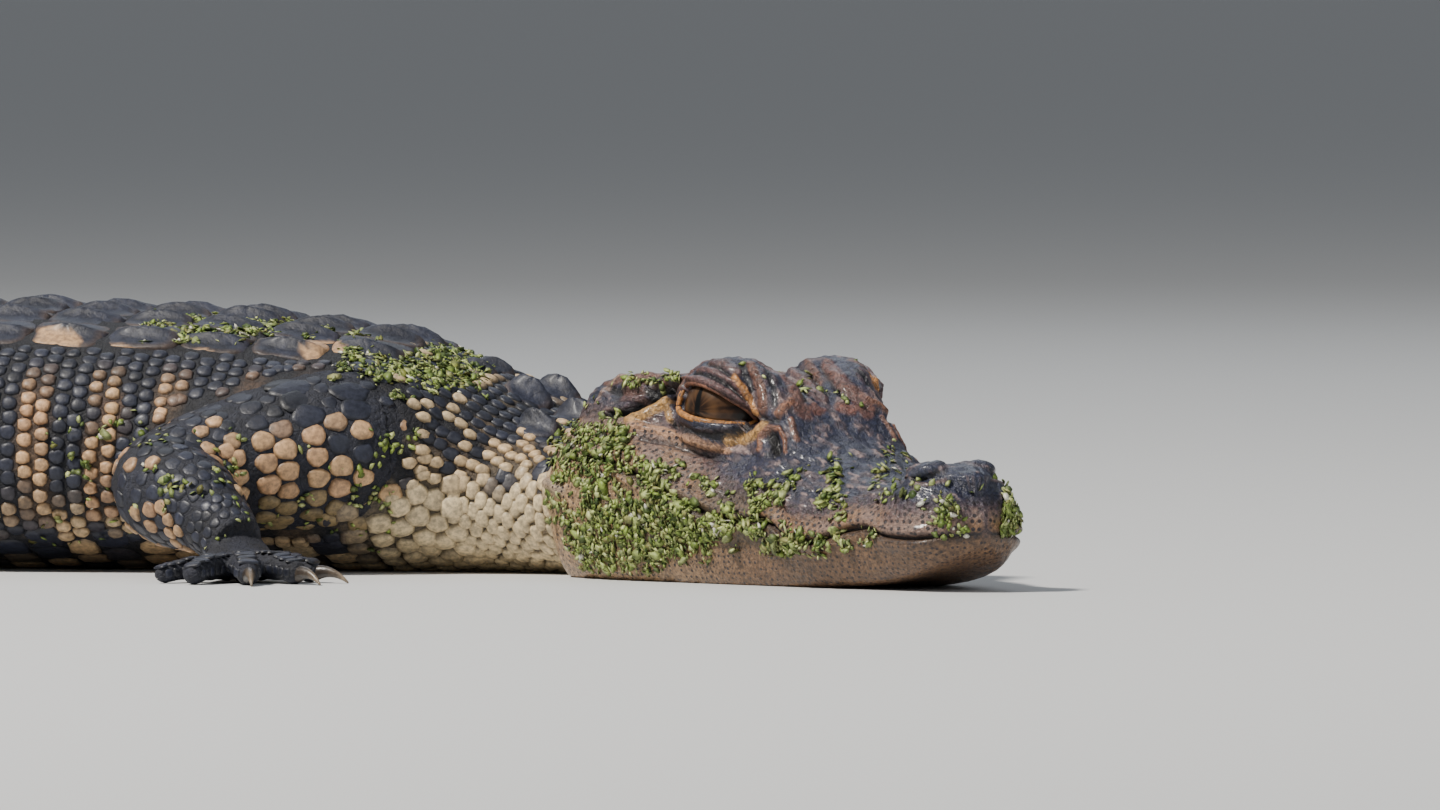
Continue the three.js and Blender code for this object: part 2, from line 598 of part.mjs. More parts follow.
// The origin goes to the bottom centre of the box.
const box = new THREE.Box3().setFromObject(alligator);
const centre = box.getCenter(new THREE.Vector3());
alligator.position.set(-centre.x, -centre.y, -box.min.z);

export default alligator;
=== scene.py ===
# A young American alligator lying flat: skin, scales, scutes, eyes, claws and flecks of duckweed.
# Lengths are in millimetres in the animal's own terms until put() turns them into metres in the part's frame.
import math

import bpy
import numpy as np
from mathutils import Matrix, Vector
from mathutils.bvhtree import BVHTree
from mathutils.kdtree import KDTree


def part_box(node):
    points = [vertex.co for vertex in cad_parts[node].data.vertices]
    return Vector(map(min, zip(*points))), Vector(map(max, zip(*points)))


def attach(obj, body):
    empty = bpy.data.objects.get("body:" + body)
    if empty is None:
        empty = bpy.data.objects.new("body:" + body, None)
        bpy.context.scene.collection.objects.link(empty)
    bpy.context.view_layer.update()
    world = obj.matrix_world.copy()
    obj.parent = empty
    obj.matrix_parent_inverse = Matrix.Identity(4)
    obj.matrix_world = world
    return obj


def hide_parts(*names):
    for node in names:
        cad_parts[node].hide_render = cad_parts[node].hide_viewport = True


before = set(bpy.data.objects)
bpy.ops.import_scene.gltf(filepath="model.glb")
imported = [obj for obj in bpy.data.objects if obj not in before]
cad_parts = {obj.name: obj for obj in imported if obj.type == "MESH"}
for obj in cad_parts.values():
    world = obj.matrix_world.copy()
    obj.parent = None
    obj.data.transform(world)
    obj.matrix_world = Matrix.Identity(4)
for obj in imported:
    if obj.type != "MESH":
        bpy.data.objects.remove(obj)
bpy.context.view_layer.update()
rng = np.random.default_rng(17)

# Lengths along the animal, as in the solids. Curves of the head end at HEAD_END, the others at TOTAL_LENGTH.
HEAD_LENGTH = 104.0
HEAD_END = 108.0
TORSO_END = 391.0
TOTAL_LENGTH = 800.0
UP = np.array([0, 0, 1.0])


def unit(v):
    return v / np.linalg.norm(v, axis=-1, keepdims=True)


# Knots or pixels written as "x,y x,y"
def pairs(text):
    return [tuple(float(v) for v in pair.split(",")) for pair in text.split()]


# Cubic between values a and b with slopes da and db there, for u from 0 to 1
def hermite(u, a, da, b, db):
    return (2 * u**3 - 3 * u**2 + 1) * a + (u**3 - 2 * u**2 + u) * da + (3 * u**2 - 2 * u**3) * b + (u**3 - u**2) * db


# Smooth curve through knots that never overshoots them (monotone cubic)
def curve(knots):
    x, y = np.array(pairs(knots) if isinstance(knots, str) else knots, float).T
    h = np.diff(x)
    slope = np.diff(y) / h
    tangent = np.empty(len(x))
    tangent[0], tangent[-1] = slope[0], slope[-1]
    a, b = slope[:-1], slope[1:]
    total = np.where(np.abs(a + b) < 1e-12, 1, a + b)
    tangent[1:-1] = np.where(a * b <= 0, 0, 2 * a * b / total)

    def value(at):
        at = np.clip(np.asarray(at, float), x[0], x[-1])
        i = np.clip(np.searchsorted(x, at, side="right") - 1, 0, len(h) - 1)
        u = (at - x[i]) / h[i]
        return hermite(u, y[i], h[i] * tangent[i], y[i + 1], h[i] * tangent[i + 1])

    return value


def smooth(low, high, x):
    u = np.clip((np.asarray(x, float) - low) / (high - low), 0, 1)
    return u * u * (3 - 2 * u)


heading = curve("104,-59 114,-53 128,-39 144,-25 162,-16 300,-13 390,-7 480,8 590,24 690,17 800,-6")
middle_s = np.arange(HEAD_LENGTH, TOTAL_LENGTH) + 0.5
turn = np.radians(heading(middle_s))
spine = np.vstack([[0, 0], -np.cumsum(np.stack([np.cos(turn), np.sin(turn)], 1), 0)])


# Forward and left of the body at s
def ways_at(s):
    angle = np.radians(heading(s))
    forward = np.stack([np.cos(angle), np.sin(angle)], -1)
    return forward, np.stack([-forward[..., 1], forward[..., 0]], -1)


# World point of (s, y, z): s from the tip of the snout, y to the left, z up
def place(s, y, z):
    s, y, z = np.broadcast_arrays(np.asarray(s, float), y, z)
    forward, left = ways_at(s)
    along = np.clip(s - HEAD_LENGTH, 0, len(spine) - 1.001)
    i = along.astype(int)
    part = (along - i)[..., None]
    at = spine[i] * (1 - part) + spine[i + 1] * part
    ahead = np.maximum(HEAD_LENGTH - s, 0) - np.maximum(s - TOTAL_LENGTH, 0)
    return np.concatenate([at + forward * ahead[..., None] + left * y[..., None], z[..., None]], -1)


# The other way round, for points behind the head
def unplace(points):
    out = np.empty((len(points), 3))
    stations = (np.arange(len(spine)) + HEAD_LENGTH)[::2]
    for i in range(0, len(points), 20000):
        p = points[i:i + 20000]
        nearest = ((p[:, None, :2] - spine[None, ::2]) ** 2).sum(-1).argmin(1)
        s = stations[nearest]
        forward, left = ways_at(s)
        d = p[:, :2] - spine[::2][nearest]
        out[i:i + 20000] = np.stack([s - (d * forward).sum(1), (d * left).sum(1), p[:, 2]], 1)
    return out


EYE_S, EYE_Y, EYE_Z, EYE_R = 69.0, 10.0, 30.0, 8.5
corner_low, corner_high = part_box("eye_right")
eye_centre = place(EYE_S, -EYE_Y, EYE_Z)
SHIFT = (np.array(corner_low) + np.array(corner_high)) * 500 - eye_centre


def put(points):
    return (np.asarray(points) + SHIFT) / 1000


# Camera of the photo, in the same millimetres, with its pixels
PICTURE = (1440, 810)
PIXELS_PER_MM = 5.65
CAMERA_AWAY = 3000.0
CAMERA_TILT = math.radians(1.5)
EYE_PIXEL = (732, 412)
view_dir = np.array([0, math.cos(CAMERA_TILT), -math.sin(CAMERA_TILT)])
view_right = np.array([1.0, 0, 0])
view_up = np.cross(view_right, view_dir)
MIDDLE_X, MIDDLE_Y = PICTURE[0] / 2, PICTURE[1] / 2


# From the middle of the picture to a pixel, in the plane of the aim
def off_aim(uv):
    return view_right * (uv[0] - MIDDLE_X) / PIXELS_PER_MM - view_up * (uv[1] - MIDDLE_Y) / PIXELS_PER_MM


def pixel_ray(uv):
    return view_dir * CAMERA_AWAY + off_aim(uv)


camera_at = eye_centre - off_aim(EYE_PIXEL) - view_dir * CAMERA_AWAY


def to_pixel(points):
    rel = points - camera_at
    k = CAMERA_AWAY * PIXELS_PER_MM / (rel @ view_dir)
    return np.stack([MIDDLE_X + (rel @ view_right) * k, MIDDLE_Y - (rel @ view_up) * k], -1)


# Noise from a hashed lattice, 0 to 1
def noise(points, size, seed=0):
    p = np.asarray(points) / size
    base = np.floor(p).astype(np.int64)
    f = p - base
    f = f * f * (3 - 2 * f)
    out = 0
    for dx, dy, dz in np.ndindex(2, 2, 2):
        x, y, z = base[..., 0] + dx, base[..., 1] + dy, base[..., 2] + dz
        h = (x * 374761393 + y * 668265263 + z * 2147483647 + seed * 974711) & 0xFFFFFFFF
        h = ((h ^ (h >> 13)) * 1274126177) & 0xFFFFFFFF
        h = (h ^ (h >> 16)) & 0xFFFF
        w = (f[..., 0] if dx else 1 - f[..., 0]) * (f[..., 1] if dy else 1 - f[..., 1])
        out = out + h / 65535 * w * (f[..., 2] if dz else 1 - f[..., 2])
    return out


def fbm(points, size, seed=0, octaves=3):
    total, weight = 0, 0
    for o in range(octaves):
        total = total + noise(points, size / 2**o, seed + o) / 2**o
        weight += 1 / 2**o
    return total / weight


def linear(hexa):
    c = np.array([int(hexa[i:i + 2], 16) for i in (1, 3, 5)]) / 255
    return np.where(c <= 0.04045, c / 12.92, ((c + 0.055) / 1.055) ** 2.4)


def mix(a, b, w):
    w = np.asarray(w)[..., None]
    return a * (1 - w) + b * w


SLATE = linear("#20222b")
SLATE_BLUE = linear("#2d3142")
CREAM = linear("#d6b083")
PALE = linear("#dcc8a2")
TAN = linear("#b98f6e")
# Near-black: painted shade in the mouth, creases and the gaps round scales, and dark mottling on the lids
DARK = linear("#131318")

# Trunk, neck and tail
half_width = curve(
    "100,24 108,24.5 118,26 135,29.5 160,36 190,42 250,47 320,44 365,34.5 395,25 440,19.5 520,13.5 600,9.4 700,5.6 "
    "785,2.3 800,0.9")
back_height = curve(
    "100,29.5 108,27.4 118,26.4 130,28 146,34.5 165,41 200,45 250,46.5 310,45 360,40.5 395,35.5 440,31 520,25.5 "
    "600,20 700,13 785,6 800,2.6")
BELLY_SINK = -0.7
waist_share = curve("100,0.5 140,0.46 250,0.42 380,0.45 480,0.5 800,0.5")
roundness = curve("100,2.2 200,2.5 340,2.5 420,2.3 800,2")


# Height of the back at s, and of the widest place of the section
def levels(s):
    top = back_height(s)
    return top, BELLY_SINK + (top - BELLY_SINK) * waist_share(s)


def trunk_section(s, angle):
    power = 2 / roundness(s)
    cos, sin = np.cos(angle), np.sin(angle)
    top, waist = levels(s)
    z = waist + np.where(sin >= 0, (top - waist), (BELLY_SINK - waist)) * np.abs(sin) ** power
    return half_width(s) * np.sign(cos) * np.abs(cos) ** power, z


# Height of the back at y
def back_at(s, y):
    power = roundness(s)
    top, waist = levels(s)
    share = np.minimum(np.abs(y) / half_width(s), 0.98)
    return waist + (top - waist) * (1 - share**power) ** (1 / power)


# Head outlines of its right half
crown_height = curve(
    "0,13 1,15.2 3,18 6,20 10,21 15,20.2 20,18.8 27,19.2 36,22 44,25.2 50,29 56,32.6 63,34.8 70,35.6 80,35 92,35.2 "
    "101,35 104,33.6 108,30")
edge_half = curve(
    "0,0.8 1,2.8 3,5 7,7.2 12,8 18,7.6 25,8 36,9.4 48,9.8 56,10.4 64,11.4 72,12.8 78,14.4 88,15.6 98,16.6 104,16.2 "
    "108,14")
edge_height = curve(
    "0,12.6 1,14.4 3,16.8 7,19 12,19.6 18,17.8 27,17.8 38,21 46,25 52,31.4 58,37.4 64,38.8 69,38.4 75,36.8 82,35.6 "
    "96,35.4 102,34.8 105,32.6 108,28")
side_half = curve(
    "0,1.1 1,4 3,7.4 7,10.2 12,11.2 18,11.8 28,14.6 38,16.4 48,15.8 56,13.8 66,14.2 76,17.6 86,21.5 96,23.4 102,23 "
    "108,20")
side_height = curve("0,11.8 3,13.4 8,15 14,14.6 24,13.8 36,16 46,19.5 54,23 64,25.6 76,27.6 88,28.6 100,27 108,24")
lip_half = curve(
    "0,1.3 1,5 3,8.6 6,10.9 10,12.4 15,13.2 20,13.5 26,15.8 33,18.4 42,19.4 52,20.8 64,23.6 78,26.6 90,28.2 99,28 "
    "108,24.5")
mouth_height = curve(
    "0,10.2 7,9.4 13,9.7 19,11 24,10.2 30,8.4 36,8.9 43,11.8 51,11.6 58,12.8 66,15.4 76,19.4 86,21.6 94,21.2 "
    "108,19.6")
jaw_half = curve(
    "0,1.2 1,4 3,7.2 6,9.4 10,11.2 16,12.2 22,13.6 33,17 44,18.3 56,20.8 70,24.8 84,28.2 96,29.4 102,28.2 108,24.5")
jaw_height = curve("0,9.4 2,8.2 6,7 16,6.6 28,5.6 40,6.5 56,7.5 70,9.5 84,11.5 108,12")
chin_half = curve("0,0.8 1,2.4 3,4.6 6,6.6 12,8.4 22,10.4 36,13.4 52,16.5 70,20 88,23 100,23 108,19")
chin_height = curve("0,8.8 1,7.4 3,6 7,4.2 14,2.4 24,1 40,-0.1 56,-0.7 108,-0.7")


TENSION = 0.42


# Head outline at s for k from 0 at the crown to 6 at the chin, right half, as (half width, height)
def head_section(s, k):
    zero = np.zeros_like(s)
    halves = [zero, edge_half(s), side_half(s), lip_half(s), jaw_half(s), chin_half(s), zero]
    outlines = (crown_height, edge_height, side_height, mouth_height, jaw_height, chin_height, chin_height)
    heights = [height(s) for height in outlines]
    i = np.minimum(k.astype(int), 5)
    u = k - i
    out = []
    for table, sign in ((halves, -1), (heights, 1)):
        table = np.stack([sign * table[1]] + table + [sign * table[5]])
        p0, p1, p2, p3 = (table[i + j, np.arange(len(s))] for j in range(4))
        out.append(hermite(u, p1, TENSION * (p2 - p0), p2, TENSION * (p3 - p1)))
    return out


# A round mass over the head's outline, as far out as a ray from the middle of the section reaches.
def bulge(s, y, z, middle, centre, radii, soft):
    inside = 1 - ((s - centre[0]) / radii[0]) ** 2
    f = np.sqrt(np.clip(inside, 1e-6, 1))
    ry, rz = radii[1] * f, radii[2] * f
    r = np.hypot(y, z - middle)
    dy, dz = y / r, (z - middle) / r
    cy, cz = centre[1], centre[2] - middle
    a = (dy / ry) ** 2 + (dz / rz) ** 2
    b = (dy * cy) / ry**2 + (dz * cz) / rz**2
    c = (cy / ry) ** 2 + (cz / rz) ** 2 - 1
    disc = b * b - a * c
    reach = np.where((disc > 0) & (inside > 0), (b + np.sqrt(np.maximum(disc, 0))) / a, 0)
    h = np.clip(0.5 + 0.5 * (reach - r) / soft, 0, 1)
    merged = r * (1 - h) + reach * h + soft * h * (1 - h)
    grow = np.where(reach > 0, merged / r, 1)
    return y * grow, middle + (z - middle) * grow


# The skin as one grid from snout to tail: rows along s, columns round the body
rows = np.concatenate([np.arange(0, 3, 0.12), np.arange(3, 108, 0.34),
                       np.arange(108, 170, 1.0), np.arange(170, 801, 2.5)])
per_side = 200
k_side = curve("0,0 0.1,0.6 0.76,3.4 1,6")(np.arange(per_side + 1) / per_side)
k_ring = np.concatenate([k_side, k_side[-2:0:-1]])
side_ring = np.concatenate([-np.ones(per_side + 1), np.ones(per_side - 1)])
R, C = len(rows), len(k_ring)
grid_s = np.repeat(rows, C)
grid_k = np.tile(k_ring, R)
grid_side = np.tile(side_ring, R)
on_head = grid_s < 112

# Brow dome, nostril mound and top of the snout: middle, radii and softness of the join
BULGES = [((EYE_S - 0.5, EYE_Y, EYE_Z), (11, 9.8, 9.8), 1.2), ((12, 4.2, 20.4), (5.4, 3.4, 2), 0.8),
          ((10.5, 0, 19.8), (8.5, 5.5, 2.2), 1.0)]


def body_point(s, k):
    y, z = trunk_section(s, np.pi / 2 - np.pi * k / 6)
    head_s, head_k, w = s[on_head], k[on_head], smooth(103, 112, s)[on_head]
    hy, hz = head_section(np.minimum(head_s, HEAD_END), head_k)
    middle = (crown_height(head_s) + chin_height(head_s)) / 2
    hy = np.maximum(hy, 0) + 1e-4
    for centre, radii, soft in BULGES:
        hy, hz = bulge(head_s, hy, hz, middle, centre, radii, soft)
    y[on_head] = hy * (1 - w) + y[on_head] * w
    z[on_head] = hz * (1 - w) + z[on_head] * w
    return y, z


flat_y, flat_z = body_point(grid_s, grid_k)
base = place(grid_s, flat_y * grid_side, flat_z).reshape(R, C, 3)
point = np.stack([grid_s, flat_y, flat_z], -1)


def grid_normals(p):
    n = np.cross((np.roll(p, -1, 1) - np.roll(p, 1, 1)) / 2, np.gradient(p, axis=0))
    return n / (np.linalg.norm(n, axis=-1, keepdims=True) + 1e-12)


normals = grid_normals(base)
normals = (normals * np.sign(normals[R // 2, 0] @ UP)).reshape(-1, 3)

# Forward and left of the head
head_turn = math.radians(float(heading(HEAD_LENGTH)))
head_forward = np.array([math.cos(head_turn), math.sin(head_turn), 0])
head_left = np.array([-head_forward[1], head_forward[0], 0])


# Distance of pixels from a line
def line_gap(uv, line):
    best = np.full(len(uv), 1e9)
    line = np.array(line, float)
    for a, b in zip(line[:-1], line[1:]):
        d = b - a
        t = np.clip(((uv - a) @ d) / (d @ d), 0, 1)
        best = np.minimum(best, np.hypot(*(uv - a - t[:, None] * d).T))
    return best


# How far pixels lie within a closed outline, 0 outside it
def depth_in(uv, outline):
    return np.where(inside(uv, outline), line_gap(uv, outline + outline[:1]), 0)


def inside(uv, outline):
    hit = np.zeros(len(uv), bool)
    x, y = uv.T
    for (ax, ay), (bx, by) in zip(outline, outline[1:] + outline[:1]):
        crosses = (ay > y) != (by > y)
        with np.errstate(divide="ignore", invalid="ignore"):
            hit ^= crosses & (x < (bx - ax) * (y - ay) / (by - ay) + ax)
    return hit


# Opening of the right eye, from corner to corner along the upper lid and back along the lower one
EYE_OUTLINE = pairs("669,384 677,380 695,381 715,388 733,398 750,408 760,421 750,427 725,426 702,423 685,418 673,409 "
                    "668,399")

# Lines of the near side, in the photo's pixels: points, width in pixels, height in mm, colour and its strength
# The near-black lines (#131318), sunk into the skin, are painted shade in folds and grooves round the eye and lids, the
# pit before the eye and the nostril's slit
NEAR_LINES = [
    ("606,379 630,377 656,380 677,379", 6, 0.6, "#66463a", 0.95),
    ("608,389 630,393 650,391 674,384", 3.5, -0.7, "#131318", 0.9),
    ("630,421 645,415 655,409 664,402", 5.5, 0.8, "#bb9156", 1),
    ("664,398 667,408 671,421", 3, 0.35, "#bb9156", 0.8),
    ("610,413 625,411 640,404 655,396 667,390", 3.6, -2.2, "#131318", 1),
    ("676,425 692,433 713,437 735,433 750,427", 3.6, -0.8, "#131318", 0.85),
    ("728,441 745,441 757,433 763,425", 4.5, 0.5, "#bb9156", 0.9),
    ("610,432 638,427 660,432 684,438 706,446 730,451", 4, 0.7, "#b98f6e", 0.8),
    ("640,438 670,444 700,454 725,459", 2.6, -0.45, "#20222b", 0.6),
    ("602,452 612,441 626,432 640,428", 3, 0.5, "#b98f6e", 0.5),
    ("600,458 612,449 628,440", 2.4, -0.5, "#131318", 0.6),
    ("677,380 695,379 712,384 730,393 748,407", 3, 0.55, "#6a4c4a", 0.85),
    ("680,375 700,373 716,378 732,388 746,401", 1.7, -0.55, "#131318", 0.85),
    ("683,370 702,368 718,373 734,384 744,395", 2.4, 0.45, "#6a4c4a", 0.8),
    ("686,365 706,363 722,369 736,380", 1.6, -0.5, "#131318", 0.8),
    ("700,358 722,362 740,372", 4, 0.4, "#66463a", 0.5),
    ("734,378 743,389 751,401 757,413", 3.4, 0.6, "#b27c45", 1),
    ("751,366 758,380 763,395 764,410", 4.2, 0.4, "#66463a", 0.95),
    ("742,364 747,378 751,390", 3.5, -0.15, "#20222b", 0.95),
    ("768,372 774,388 775,404", 3, -0.3, "#20222b", 0.9),
    ("779,414 784,408 789,404", 4, 0.6, "#8c6048", 0.9),
    ("791,420 793,430 797,440", 3, 0.5, "#86604e", 0.8),
    ("760,450 761,438 769,427 779,428 785,440 785,451", 2.2, 0.55, "#8c6048", 0.85),
    ("772,437 774,447", 6, -1.9, "#131318", 1),
    ("762,418 770,421 778,420", 2.2, -0.5, "#131318", 0.7),
    ("548,484 554,486 560,490", 6, 1.2, "#a3917c", 0.9),
    ("912,477 922,471 934,466 941,463", 4.5, 0.7, "#2a2f44", 0.95),
    ("910,476 914,484 928,485 946,480", 1.8, 0.2, "#7b675f", 0.6),
    ("912,481 926,478 939,471", 1.3, -0.6, "#131318", 1),
    ("600,466 630,484 655,502 690,522", 3, 0.35, "#b98f6e", 0.3),
]
# Lines of the far brow, which shows its inner face
# Its near-black lines (#131318), sunk into the skin, are painted shade in the grooves between the folds
FAR_LINES = [
    ("787,368 800,377 812,388 824,400", 4, 0.6, "#6f5048", 0.6),
    ("808,363 816,373 819,382", 3.5, 0.35, "#66463a", 0.9),
    ("828,367 842,382 856,397 867,413", 7, 0.5, "#7a4f3a", 0.55),
    ("796,366 812,378 828,394", 1.8, -0.6, "#131318", 0.8),
    ("820,366 832,384 846,400", 2, -0.5, "#131318", 0.7),
    ("838,408 852,411", 4.5, 0.5, "#7a4f42", 0.8),
    ("778,372 790,387 800,401 808,411", 2.2, 0.3, "#8d7466", 0.8),
]

# Where the camera sees the head, with its far half folded over to the near side
folded = normals - 2 * np.outer(np.where(grid_side > 0, normals @ head_left, 0), head_left)
seen = np.where(on_head, smooth(0.02, 0.2, -(folded @ view_dir)), 0)
near_pixel = to_pixel(place(grid_s, -flat_y, flat_z))
far_pixel = to_pixel(place(grid_s, flat_y, flat_z))
world = base.reshape(-1, 3)

# Base colours of the skin
above = flat_z - mouth_height(np.minimum(grid_s, HEAD_END))
blotch = fbm(point / np.array([2.4, 1, 1]), 1.8, 3)
fine = fbm(point, 1.1, 9)
large = fbm(point, 9, 21)
streak = fbm(point / np.array([2.2, 1, 1]), 1.1, 13)
tint = mix(SLATE, SLATE_BLUE, smooth(0.35, 0.7, large))
tint = mix(tint, linear("#2b3049"), 0.6 * on_head)
tint = mix(tint, linear("#54484d"), 0.75 * smooth(0.56, 0.64, blotch) * on_head)
tint = mix(tint, linear("#9c8580"), 0.7 * smooth(0.58, 0.66, streak) * smooth(0.47, 0.56, blotch) * on_head)
crest = on_head * smooth(50, 58, grid_s) * (1 - 0.7 * smooth(72, 80, grid_s)) * (1 - smooth(1.5, 2.1, grid_k))
tint = mix(tint, linear("#66463a"), 0.4 * crest * smooth(0.52, 0.6, fbm(point / np.array([1.8, 1, 1]), 2.4, 5)))
lip_top = 3.2 + 4 * smooth(52, 78, grid_s)
patchy = above + 4 * (blotch - 0.5) + 2 * (fine - 0.5)
tint = mix(tint, linear("#5b4746"), 0.7 * on_head * (1 - smooth(lip_top + 1, lip_top + 4, patchy)))
lip = on_head * (1 - smooth(lip_top - 1, lip_top + 1.8, patchy))
tint = mix(tint, mix(linear("#86674d"), linear("#826a5e"), smooth(0.4, 0.6, large)), lip)
jaw = on_head * smooth(0.4, -0.6, above)
# The jaw's tan is darker towards the snout and lighter to the rear: partly its own tone, partly painted shade on the
# front of the jaw
jaw_tone = mix(mix(linear("#7d6147"), linear("#694f39"), fine), linear("#a88a69"), smooth(45, 80, grid_s))
tint = mix(tint, jaw_tone, jaw * (1 - smooth(100, 107, grid_s)))
under = 1 - smooth(6, 17, flat_z + 8 * (large - 0.5))
tint = mix(tint, PALE * 0.8, under * smooth(100, 107, grid_s))

# Painted shade under the carpet of duckweed on the cheek: the skin there darkens to olive, in patches
CARPET = pairs("590,400 640,440 720,478 800,490 820,525 800,556 720,558 620,560 570,540")
cheek = np.flatnonzero((seen > 0) & (grid_s > 40))
shaded = smooth(0, 22, depth_in(near_pixel[cheek], CARPET)) * smooth(0.35, 0.6, blotch[cheek])
tint[cheek] = mix(tint[cheek], linear("#3d3a28"), 0.6 * shaded)

# The line of the mouth, with the upper lip over it
mouth_on = on_head * (np.abs(grid_k - 3) < 1.1) * (1 - smooth(91, 95, grid_s))
near_mouth = lambda level, width: np.exp(-(((above - level) / width) ** 2)) * mouth_on
groove, lips = near_mouth(0, 0.5), smooth(1, 8, grid_s)
height = -1.1 * groove * (0.3 + 0.7 * smooth(0, 5, grid_s))
height += (0.45 * near_mouth(1.3, 0.9) + 0.3 * near_mouth(-1.6, 0.9)) * lips
# Painted shade: near-black in the groove of the mouth and in a band just under the upper lip's overhang
tint = mix(tint, DARK, np.maximum(0.97 * groove, 0.6 * near_mouth(-0.6, 0.7)))

# Wrinkles that run along the snout, knobs on the skull, and folds round the jaw's rear corner
ridged = 1 - np.abs(2 * fbm(point / np.array([3.2, 1, 1]), 2.2, 31) - 1)
rough = on_head * (1 - 0.75 * np.clip(lip + jaw, 0, 1))
pebbles = 0.55 * (ridged - 0.75) + 0.9 * (blotch - 0.5) + 0.55 * (streak - 0.5)
height += rough * pebbles * (1 - smooth(100, 108, grid_s))
# Painted shade: near-black in the creases between the wrinkles and knobs
tint = mix(tint, DARK, rough * 0.6 * smooth(0.62, 0.4, ridged))
height += np.clip(lip + jaw, 0, 1) * 0.12 * (fine - 0.5)

far_mask = on_head * (grid_k < 1.6) * (grid_s > 48)
for lines, pixels, mask in ((NEAR_LINES, near_pixel, seen), (FAR_LINES, far_pixel, far_mask)):
    use = np.flatnonzero(mask > 0)
    for line, width, rise, colour, strength in lines:
        weight = np.exp(-((line_gap(pixels[use], pairs(line)) / width) ** 2)) * mask[use]
        height[use] += rise * weight
        ragged = np.clip(weight * 1.5 + 0.3 * (fine[use] - 0.5), 0, 1) * (weight > 0.05)
        tint[use] = mix(tint[use], linear(colour), strength * smooth(0.25, 0.75, ragged))

# The opening of the lids: skin inside it sinks behind the eyeball
eye_gap = np.linalg.norm(point - np.array([EYE_S, EYE_Y, EYE_Z]), axis=1)
near_eye = np.flatnonzero((seen > 0.5) & (eye_gap < 15))
depth = depth_in(near_pixel[near_eye], EYE_OUTLINE)
height[near_eye] -= 4.2 * smooth(0, 5, depth)
# Painted shade: the sunken skin darkens to deep brown in the gap round the eyeball
tint[near_eye] = mix(tint[near_eye], linear("#3a2620"), 0.9 * smooth(0, 3, depth))

height *= np.where(grid_s < 3, smooth(0.2, 1.6, grid_s), 1)
skin = world + normals * height[:, None]

# Limbs, given by their joints as (s, y, z) with y outwards, as in the solids. Toes have an angle, length and thickness.
ARM = dict(foot_name="hand", upper=(13.5, 13, 11.8, 10.2, 9.2), lower=(9.2, 8, 6.2, 5), length=9, width=6.8, claw=6.2,
           root=(157, 21, 22), toes=((10, 2.3), (13, 2.4), (14.5, 2.4), (13.5, 2.2), (11.5, 1.9)),
           fan=(56, 30, 0, -32, -62))
LEG = dict(foot_name="foot", upper=(14, 14.5, 13, 11, 9.6), lower=(10.4, 8.6, 6.6, 5.4), length=18, width=7.2, claw=6.4,
           root=(370, 16, 21), toes=((15, 2.6), (18, 2.7), (18, 2.6), (16, 2.1)), fan=(34, 11, -12, -36))
LIMBS = {
    "right_front": dict(ARM, side=-1, joint=(196, 52, 16.5), ankle=(177, 68, 6.4), foot=-84),
    "left_front": dict(ARM, side=1, joint=(195, 50, 16), ankle=(178, 66, 6.4), foot=34),
    "right_rear": dict(LEG, side=-1, joint=(344, 52, 19), ankle=(381, 63, 6.8), foot=-42),
    "left_rear": dict(LEG, side=1, joint=(348, 53, 18), ankle=(388, 60, 6.8), foot=30),
}
CLAWED = 3
GROUND = 0.05
BLEND = 9.0


# Smooth path through points, with n samples (centripetal Catmull-Rom).
def path_through(points, n):
    p = np.array(points, float)
    p = np.vstack([2 * p[0] - p[1], p, 2 * p[-1] - p[-2]])
    knots = np.concatenate([[0], np.cumsum(np.sqrt(np.linalg.norm(np.diff(p, axis=0), axis=1)))])
    out = []
    for t in np.linspace(0, len(points) - 1, n):
        i = min(int(t), len(points) - 2)
        q, k = p[i:i + 4], knots[i:i + 4]
        x = k[1] + (t - i) * (k[2] - k[1])
        a = [((k[j + 1] - x) * q[j] + (x - k[j]) * q[j + 1]) / (k[j + 1] - k[j]) for j in range(3)]
        b = [((k[j + 2] - x) * a[j] + (x - k[j]) * a[j + 1]) / (k[j + 2] - k[j]) for j in range(2)]
        out.append(((k[2] - x) * b[0] + (x - k[1]) * b[1]) / (k[2] - k[1]))
    return np.array(out)


def frames(path):
    tangent = unit(np.gradient(path, axis=0))
    across = np.cross(UP, tangent)
    across /= np.linalg.norm(across, axis=1, keepdims=True) + 1e-9
    return tangent, across, np.cross(tangent, across)


def ring_faces(rings, sides):
    i, j = np.meshgrid(np.arange(rings - 1), np.arange(sides), indexing="ij")
    a, b = i * sides + j, i * sides + (j + 1) % sides
    return np.stack([a, b, b + sides, a + sides], -1).reshape(-1, 4).tolist()


# Stacked rings closed by fans to one more point at each end
def shell(rings, sides, turned=False):
    n, j = rings * sides, np.arange(sides)
    after = (j + 1) % sides
    fans = np.stack([n + 0 * j, after, j, n + 1 + 0 * j, n - sides + j, n - sides + after], -1).reshape(-1, 3)
    faces = np.array(ring_faces(rings, sides))
    if turned:
        faces, fans = faces[:, ::-1], fans[:, [0, 2, 1]]
    return faces.tolist() + fans.tolist()


# Closed tube along a path with its own half widths and half heights
def tube(path, wide, high=None, sides=16):
    high = wide if high is None else high
    wide, high = np.broadcast_to(wide, len(path)), np.broadcast_to(high, len(path))
    _, across, up = frames(path)
    angle = np.arange(sides) * 2 * np.pi / sides
    ring = (path[:, None] + across[:, None] * (np.cos(angle) * wide[:, None])[..., None]
            + up[:, None] * (np.sin(angle) * high[:, None])[..., None])
    return np.vstack([ring.reshape(-1, 3), path[:1], path[-1:]]), shell(len(path), sides)


